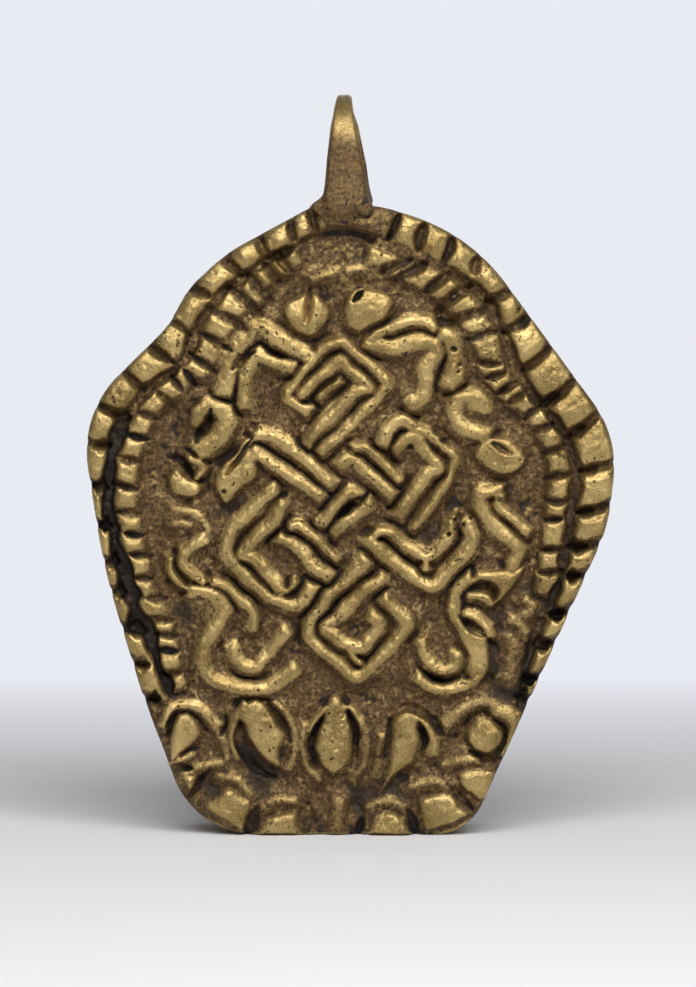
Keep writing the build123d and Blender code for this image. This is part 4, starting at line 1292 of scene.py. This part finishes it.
def loop_rings(count=120, sides=40):
    """Sections of the loop, from angle to angle round its eye."""
    turn = full_turn(count)
    cosine, sine = np.cos(turn), np.sin(turn)
    outer = np.full(count, LOOP_RADIUS)
    low = sine < 0
    lean = (FOOT_FRONT - LOOP_RADIUS) / (EYE_HEIGHT - LOOP_BASE)
    front = LOOP_RADIUS / np.maximum(cosine + lean * sine, TINY)
    rear = LOOP_RADIUS / np.maximum(-cosine, TINY)
    base = (EYE_HEIGHT - LOOP_BASE) / np.maximum(-sine, TINY)
    outer[low] = np.minimum(np.minimum(np.where(cosine > 0, front, rear), base), LOOP_CORNER)[low]
    around = full_turn(sides)
    across, through = boxed(np.sin(around)), boxed(np.cos(around))
    radius = (outer + EYE_RADIUS)[:, None] / 2 + (outer - EYE_RADIUS)[:, None] / 2 * through
    v = EYE_HEIGHT + radius * sine[:, None]
    w = radius * cosine[:, None]
    behind = smooth(*REAR_LEG_DEPTH, w) * smooth(*REAR_LEG_UP, v)
    left = np.interp(v, *zip(*BAIL_LEFT)) - REAR_LEG_LEFT * behind
    right = np.interp(v, *zip(*BAIL_RIGHT)) + REAR_LEG_RIGHT * behind
    u = (left + right) / 2 + (right - left) / 2 * across
    return np.stack([u, v, w], axis=2)


def fused(points, faces, voxel, rounds):
    """Shells melted into one skin and softened; points and voxel are in millimetres."""
    mesh = bpy.data.meshes.new("shells")
    mesh.from_pydata(points.tolist(), [], faces)
    shells = bpy.data.objects.new("shells", mesh)
    bpy.context.collection.objects.link(shells)
    melt = shells.modifiers.new("melt", "REMESH")
    melt.mode = "VOXEL"
    melt.voxel_size = voxel
    soften = shells.modifiers.new("soften", "SMOOTH")
    soften.iterations = rounds
    skin = bpy.data.meshes.new_from_object(shells.evaluated_get(bpy.context.evaluated_depsgraph_get()))
    bpy.data.objects.remove(shells)
    places = np.empty(len(skin.vertices) * 3)
    skin.vertices.foreach_get("co", places)
    return places.reshape(-1, 3), [tuple(face.vertices) for face in skin.polygons]


# The foot's sheet, its ragged and softened edge, and how it is melted to the loop
FOOT_LOW, FOOT_HIGH = (-3.6, 45.2), (2.4, 49.4)
FOOT_STEP = 0.07
FOOT_RAGGED = 0.05
FOOT_SOFT = 1.2
FOOT_SHARPER = 0.9
FOOT_SHARP_SIDE = (0.3, 0.9)
FOOT_SINK = 0.1
FOOT_ROOT = 0.9
MELT_VOXEL = 0.08
MELT_ROUNDS = 4


def hanging_loop():
    """Cast loop with its front foot run out over the rim to a ragged edge."""
    points, faces = loft(loop_rings(), closed=True)
    sheet = Sheet(FOOT_STEP, FOOT_LOW, FOOT_HIGH)
    foot = depth_within(closed_route(BAIL_FOOT), sheet.u, sheet.v)
    foot += FOOT_RAGGED * grain(sheet.shape, size=3.0, draw=5)
    lap = np.interp(sheet.v, *zip(*FOOT_LEVELS))
    softness = FOOT_SOFT - FOOT_SHARPER * smooth(*FOOT_SHARP_SIDE, sheet.u)
    thick = CREST - FOOT_SINK + (lap - CREST + FOOT_SINK) * smooth(0.0, 1.0, foot / softness)
    foot_points, foot_faces, _, _ = plate(sheet, foot, thick, CREST - FOOT_ROOT)
    faces += [tuple(len(points) + corner for corner in face) for face in foot_faces]
    points, faces = fused(np.vstack([points, foot_points]), faces, MELT_VOXEL, MELT_ROUNDS)
    material = worn_brass("loop_brass", loop_polish_and_painted_highlight, foot_pits, bump=0.3, satin_end=0.36)
    piece("hanging_loop", to_frame(points), faces, "case", "bail_strap", material)


# The side wall: levels down its outside and inside, its rounded rear edge and its nail notch
WALL_STATIONS = 900
OUTSIDE_LEVELS = (FACE_BACK, 1.2, 0.0, -1.4, -2.8)
INSIDE_LEVELS = (LID_SEAT, -1.5, 0.4, FACE_BACK)
REAR_EDGE = [(0.0, 0.4), (0.08, 0.12), (0.25, 0.0)]
LIP_BEVEL = (0.12, 0.1)
WALL_WAVER = 0.02
WAVER_COLUMNS = 8
NOTCH_MIDDLE = -1.3
NOTCH_SPAN = 4.0
NOTCH_FADE = 0.3
NOTCH_RISE = 0.7
NOTCH_UP = (1.5, 0.8)
SHARP_ANGLE = 40


def band(section, count):
    """Rings along the case outline, each a closed section of insets and levels."""
    line, inwards = stations(CASE_LINE, count)
    return np.stack([
        np.column_stack([line + inset * inwards, np.full(count, level)]) for inset, level in section
    ], axis=1), line


def side_wall():
    """The wall round the chamber, with a rear lip, a lid seat and a nail notch at the bottom."""
    outside = [(0.0, level) for level in OUTSIDE_LEVELS]
    lip = [(inset, REAR + rise) for inset, rise in REAR_EDGE]
    lip += [(LIP - LIP_BEVEL[0], REAR), (LIP, REAR + LIP_BEVEL[1])]
    inside = [(LIP, LID_SEAT)] + [(WALL, level) for level in INSIDE_LEVELS]
    rings, line = band(outside + lip + inside, WALL_STATIONS)
    notch_end = NOTCH_SPAN / 2
    notch = smooth(*NOTCH_UP, line[:, 1])
    notch *= smooth(notch_end + NOTCH_FADE, notch_end - NOTCH_FADE, np.abs(line[:, 0] - NOTCH_MIDDLE))
    first, last = len(outside), len(outside) + len(lip)
    rings[:, first:last, 2] += notch[:, None] * NOTCH_RISE
    waver = grain((WALL_STATIONS, WAVER_COLUMNS), size=3.0, draw=8)[:, :1]
    rings[:, 1:first, 2] += waver * WALL_WAVER
    material = worn_brass("sheet_brass", patches(260, 0.25, 0.8, 0.2, 0.75), patches(700, 0.66, 0.9))
    points, faces = loft(rings, closed=True)
    piece("side_wall", to_frame(points), faces, "case", "wall_band", material, SHARP_ANGLE)


# The lid: grid step, hammer dents, softened edge and the bevels of its strip
INNER_STEP = 0.2
DENT_DEPTH = 0.05
DENT_LIMIT = 0.2
SCRATCH_DEPTH = 0.012
LID_ROUND = 0.5
LID_DROP = 0.22
SKIRT_BEVEL = 0.12
OUTER_SLOPE, INNER_SLOPE = 0.25, 0.15
SKIRT_STATIONS = 600


def inner_sheet(inset):
    """A sheet seen from behind, and the distance inside the case outline less an inset."""
    sheet = Sheet(INNER_STEP)
    mirrored = CASE_LINE * (-1.0, 1.0)
    return sheet, depth_within(mirrored[::-1], sheet.u, sheet.v) - inset


def lid_brass():
    """Plain brass of the lid and its strip, worn in patches."""
    return worn_brass("lid_brass", patches(320, 0.2, 0.8, 0.3, 0.8), patches(900, 0.7, 0.95), bump=0.5)


def lid_back(material):
    """Plain lid with shallow hammer dents and a softened edge."""
    sheet, edge = inner_sheet(LID_INSET)
    dents = DENT_DEPTH * np.abs(grain(sheet.shape, size=6.0, draw=10))
    dents += SCRATCH_DEPTH * grain(sheet.shape, size=2.0, draw=11)
    round_off = LID_DROP * (1.0 - np.clip(edge / LID_ROUND, 0.0, 1.0)) ** 2
    level = -REAR - np.clip(dents, 0.0, DENT_LIMIT) - round_off
    points, faces, _, _ = plate(sheet, edge, level, -LID_SEAT)
    placed = to_frame(points, from_behind=True)
    piece("lid_back", placed, faces, "lid", "lid_plate", material, SHARP_ANGLE)


def lid_fence(material):
    """The strip inside the lid that holds it in the wall by friction."""
    inner = SKIRT_INSET + SKIRT_THICKNESS
    section = [
        (SKIRT_INSET, LID_SEAT), (SKIRT_INSET, SKIRT_FRONT - OUTER_SLOPE),
        (SKIRT_INSET + SKIRT_BEVEL, SKIRT_FRONT), (inner - SKIRT_BEVEL, SKIRT_FRONT),
        (inner, SKIRT_FRONT - INNER_SLOPE), (inner, LID_SEAT),
    ]
    rings, _ = band(section, SKIRT_STATIONS)
    points, faces = loft(rings, closed=True)
    piece("lid_fence", to_frame(points), faces, "lid", "lid_skirt", material, SHARP_ANGLE)


# The cloth pad: hem, stitch line and wrinkles as shares of its thickness
HEM_WIDTH = 1.4
SEAM_PLACE = 1.9
SEAM_HALF_WIDTH = 0.35
SEAM_DEPTH = 0.3
PAD_EDGE = 0.35
PAD_CROWN = 0.55
PAD_LIMITS = (0.2, 1.0)
PAD_WRINKLES = [(0.05, 9.0, 20), (0.02, 3.0, 21)]
DARK_RED = (0.16, 0.018, 0.02, 1)
RED = (0.40, 0.06, 0.055, 1)
WEAVE_PITCH = 0.0006


def cloth_pad():
    """A thin cloth pad behind the face, puffed inside its stitch line."""
    sheet, edge = inner_sheet(PAD_INSET)
    hem = np.clip(edge / HEM_WIDTH, 0.0, 1.0) ** 0.5
    stitched = np.clip(1.0 - (np.abs(edge - SEAM_PLACE) / SEAM_HALF_WIDTH) ** 2, 0.0, 1.0)
    seam = 1.0 - SEAM_DEPTH * stitched
    thick = PAD_EDGE + PAD_CROWN * hem * seam + grains(sheet.shape, PAD_WRINKLES)
    level = -PAD_FRONT + (PAD_FRONT - PAD_BACK) * np.clip(thick, *PAD_LIMITS)
    points, faces, _, _ = plate(sheet, edge, level, -PAD_FRONT)
    material = woven_cloth("lining_cloth", DARK_RED, RED, WEAVE_PITCH)
    placed = to_frame(points, from_behind=True)
    made = piece("cloth_pad", placed, faces, "case", "lining_pad", material)


# The paper roll
SCROLL_U = (scroll_low.x + scroll_high.x) / 2 / MM
SCROLL_W = -(scroll_low.y + scroll_high.y) / 2 / MM
SCROLL_RADIUS = (scroll_high.x - scroll_low.x) / 2 / MM
SCROLL_FOOT = scroll_low.z / MM - BOTTOM
SCROLL_LENGTH = (scroll_high.z - scroll_low.z) / MM
PAPER_TURNS = 7
PAPER = 0.1
ROLL_BORE = 0.55
ROLL_RINGS = 16
ROLL_END = (0.4, 0.5)
ROLL_SHARP = 50
STAND = 0.25
STAND_WAVE = (3.1, 0.4)
PAPER_COLOURS = [(0.60, 0.48, 0.30, 1), (0.78, 0.68, 0.49, 1), (0.40, 0.27, 0.13, 1)]


def paper_roll(steps=48):
    """A strip of paper rolled up from the inside out, its middle turns standing a little proud."""
    share = np.linspace(0.0, 1.0, PAPER_TURNS * steps)
    angle = 2 * math.pi * PAPER_TURNS * share
    middle = ROLL_BORE + (SCROLL_RADIUS - PAPER - ROLL_BORE) * share
    both = np.concatenate([middle + PAPER / 2, (middle - PAPER / 2)[::-1]])
    turn = np.concatenate([angle, angle[::-1]])
    stand = STAND * np.sin(STAND_WAVE[0] * np.concatenate([share, share[::-1]]) + STAND_WAVE[1])
    u, w = SCROLL_U + both * np.cos(turn), SCROLL_W + both * np.sin(turn)
    rings = []
    for up in np.linspace(0.0, 1.0, ROLL_RINGS):
        ends = stand * (2 * up - 1) * smooth(*ROLL_END, abs(up - 0.5)) - STAND * (2 * up - 1)
        rings.append(np.column_stack([u, SCROLL_FOOT + SCROLL_LENGTH * up + ends, w]))
    points, faces = loft(np.array(rings), closed=False)
    material = fibre_paper("charm_paper", *PAPER_COLOURS)
    piece("paper_roll", to_frame(points), faces, "case", "prayer_scroll", material, ROLL_SHARP)


# The thread round the roll
THREAD = 0.29
THREAD_TURNS = 16
PLY_TWIST = 7.0
PLY_CORE, PLY_SWELL = 0.82, 0.18
THREAD_COLOURS = [(0.30, 0.035, 0.03, 1), (0.62, 0.11, 0.085, 1)]


def thread_winding(steps=40, sides=12):
    """Thread wound side by side round the roll, two plies twisted together."""
    foot = tie_low.z / MM - BOTTOM
    length = (tie_high.z - tie_low.z) / MM
    share = np.linspace(0.0, 1.0, THREAD_TURNS * steps)
    turn = 2 * math.pi * THREAD_TURNS * share
    height = foot + THREAD / 2 + (length - THREAD) * share
    around = full_turn(sides)
    twist = turn[:, None] * PLY_TWIST
    thick = THREAD / 2 * (PLY_CORE + PLY_SWELL * np.abs(np.cos(around[None, :] + twist)))
    radius = SCROLL_RADIUS + THREAD / 2 + thick * np.cos(around)
    u = SCROLL_U + radius * np.cos(turn)[:, None]
    w = SCROLL_W + radius * np.sin(turn)[:, None]
    v = height[:, None] + thick * np.sin(around)
    points, faces = loft(np.stack([u, v, w], axis=2), closed=False)
    material = cotton_thread("tie_thread", *THREAD_COLOURS)
    piece("thread_winding", to_frame(points), faces, "case", "scroll_tie", material)


# Floor, light and camera, in metres
FLOOR_HALF = 2.0
FLOOR_BACK = 1.5
FLOOR_ROWS = 36
FLOOR_COLUMNS = 41
BEND_RADIUS = 0.3
BEND_START = 0.1
BEND_STEPS = 14
BACKDROP_TOP = 1.5
FLOOR_GREY = (0.78, 0.785, 0.80, 1)
FLOOR_PALE = (0.81, 0.815, 0.83, 1)
BACKGROUND = (0.815, 0.83, 0.89, 1)
GLOW_BEHIND = (0.045, 0.13)
GLOW_AROUND = (0.17, 0.4)


def studio_paper():
    """Pale paper that keeps shadows near the object and is evenly bright far from it."""
    material, tree, shader = new_material("studio_paper")
    tone = noise(tree, scale=14, detail=3.0).ranged(0.3, 0.7).mixed(FLOOR_GREY, FLOOR_PALE)
    feed(shader, {"Base Color": tone, "Roughness": 0.8})
    path = add(tree, "ShaderNodeLightPath")
    seen = Value(path, "Is Camera Ray").maths("MAXIMUM", Value(path, "Is Glossy Ray"))
    seen = seen.maths("MAXIMUM", Value(path, "Is Transmission Ray"))
    away = Value(add(tree, "ShaderNodeVectorMath", {0: own_place(tree)}, operation="LENGTH"), "Value")
    far = along_axis(tree, "Y").ranged(*GLOW_BEHIND).maths("MAXIMUM", away.ranged(*GLOW_AROUND))
    glow = add(tree, "ShaderNodeEmission", {"Color": BACKGROUND, "Strength": 1.0})
    blend = add(tree, "ShaderNodeMixShader", {0: seen * far, 1: Value(shader), 2: Value(glow)})
    feed(tree.nodes["Material Output"], {"Surface": Value(blend)})
    return material


def studio_floor():
    """A wide pale floor that sweeps up into the background far behind."""
    bend = np.linspace(BEND_START, math.pi / 2, BEND_STEPS)
    flat = np.linspace(-FLOOR_HALF, FLOOR_BACK, FLOOR_ROWS)
    depth = np.concatenate([flat, FLOOR_BACK + BEND_RADIUS * np.sin(bend), [FLOOR_BACK + BEND_RADIUS]])
    rise = np.concatenate([0 * flat, BEND_RADIUS * (1 - np.cos(bend)), [BACKDROP_TOP]])
    across = np.linspace(-FLOOR_HALF, FLOOR_HALF, FLOOR_COLUMNS)
    points = [(x, y, z + BOTTOM * MM) for y, z in zip(depth, rise) for x in across]
    size = FLOOR_COLUMNS
    faces = [
        (k * size + j, k * size + j + 1, (k + 1) * size + j + 1, (k + 1) * size + j)
        for k in range(len(depth) - 1) for j in range(size - 1)
    ]
    mesh = bpy.data.meshes.new("studio_floor")
    mesh.from_pydata(points, [], faces)
    mesh.shade_smooth()
    mesh.materials.append(studio_paper())
    made = bpy.data.objects.new("studio_floor", mesh)
    bpy.context.collection.objects.link(made)


# Lamps: name, place, aim, size and power
LAMPS = [
    ("key_lamp", (0.02, -0.185, 0.165), (0.0, 0.0, -0.02), (0.26, 0.16), 0.75),
    ("side_lamp", (0.2, -0.26, 0.12), (0.0, 0.0, -0.03), (0.16, 0.16), 0.08),
]


def lamp(name, place, aim, size, power):
    """A rectangular soft lamp."""
    light = bpy.data.lights.new(name, "AREA")
    light.shape = "RECTANGLE"
    light.size, light.size_y = size
    light.energy = power
    made = bpy.data.objects.new(name, light)
    made.location = place
    made.rotation_euler = (Vector(aim) - Vector(place)).to_track_quat("-Z", "Y").to_euler()
    bpy.context.collection.objects.link(made)


# Light from all round: its colour from below and from above, and its strength
WORLD_LOW = (0.22, 0.218, 0.22, 1)
WORLD_HIGH = (1.05, 1.05, 1.07, 1)
WORLD_STRENGTH = 0.33


def studio_world():
    """Soft light from all round, stronger from above."""
    world = bpy.data.worlds.new("studio")
    bpy.context.scene.world = world
    world.use_nodes = True
    tree = world.node_tree
    direction = Value(add(tree, "ShaderNodeTexCoord"), "Generated")
    up = Value(add(tree, "ShaderNodeSeparateXYZ", {0: direction}), "Z")
    tone = up.ranged(0.0, 0.85).mixed(WORLD_LOW, WORLD_HIGH)
    feed(tree.nodes["Background"], {"Color": tone, "Strength": WORLD_STRENGTH})


# Camera: target and height of the view in millimetres, lens and sensor in millimetres
TARGET = (-0.11, 25.7, GROUND)
VIEW_HEIGHT = 74.0
LENS = 180.0
SENSOR = 36.0
CAMERA_RISE = math.radians(3.0)


def photo_camera():
    """The camera at the photograph's angle; the image's long side is its height."""
    camera = bpy.data.cameras.new("photo_camera")
    camera.lens = LENS
    camera.sensor_width = SENSOR
    camera.clip_start = 0.01
    made = bpy.data.objects.new("photo_camera", camera)
    target = Vector(to_frame([TARGET])[0])
    distance = VIEW_HEIGHT * LENS / SENSOR * MM
    made.location = target + distance * Vector((0.0, -math.cos(CAMERA_RISE), math.sin(CAMERA_RISE)))
    made.rotation_euler = (target - made.location).to_track_quat("-Z", "Y").to_euler()
    bpy.context.collection.objects.link(made)
    bpy.context.scene.camera = made


bpy.context.scene.view_settings.view_transform = "Standard"
cast_face()
hanging_loop()
side_wall()
lid_material = lid_brass()
lid_back(lid_material)
lid_fence(lid_material)
cloth_pad()
paper_roll()
thread_winding()
studio_floor()
studio_world()
for settings in LAMPS:
    lamp(*settings)
photo_camera()
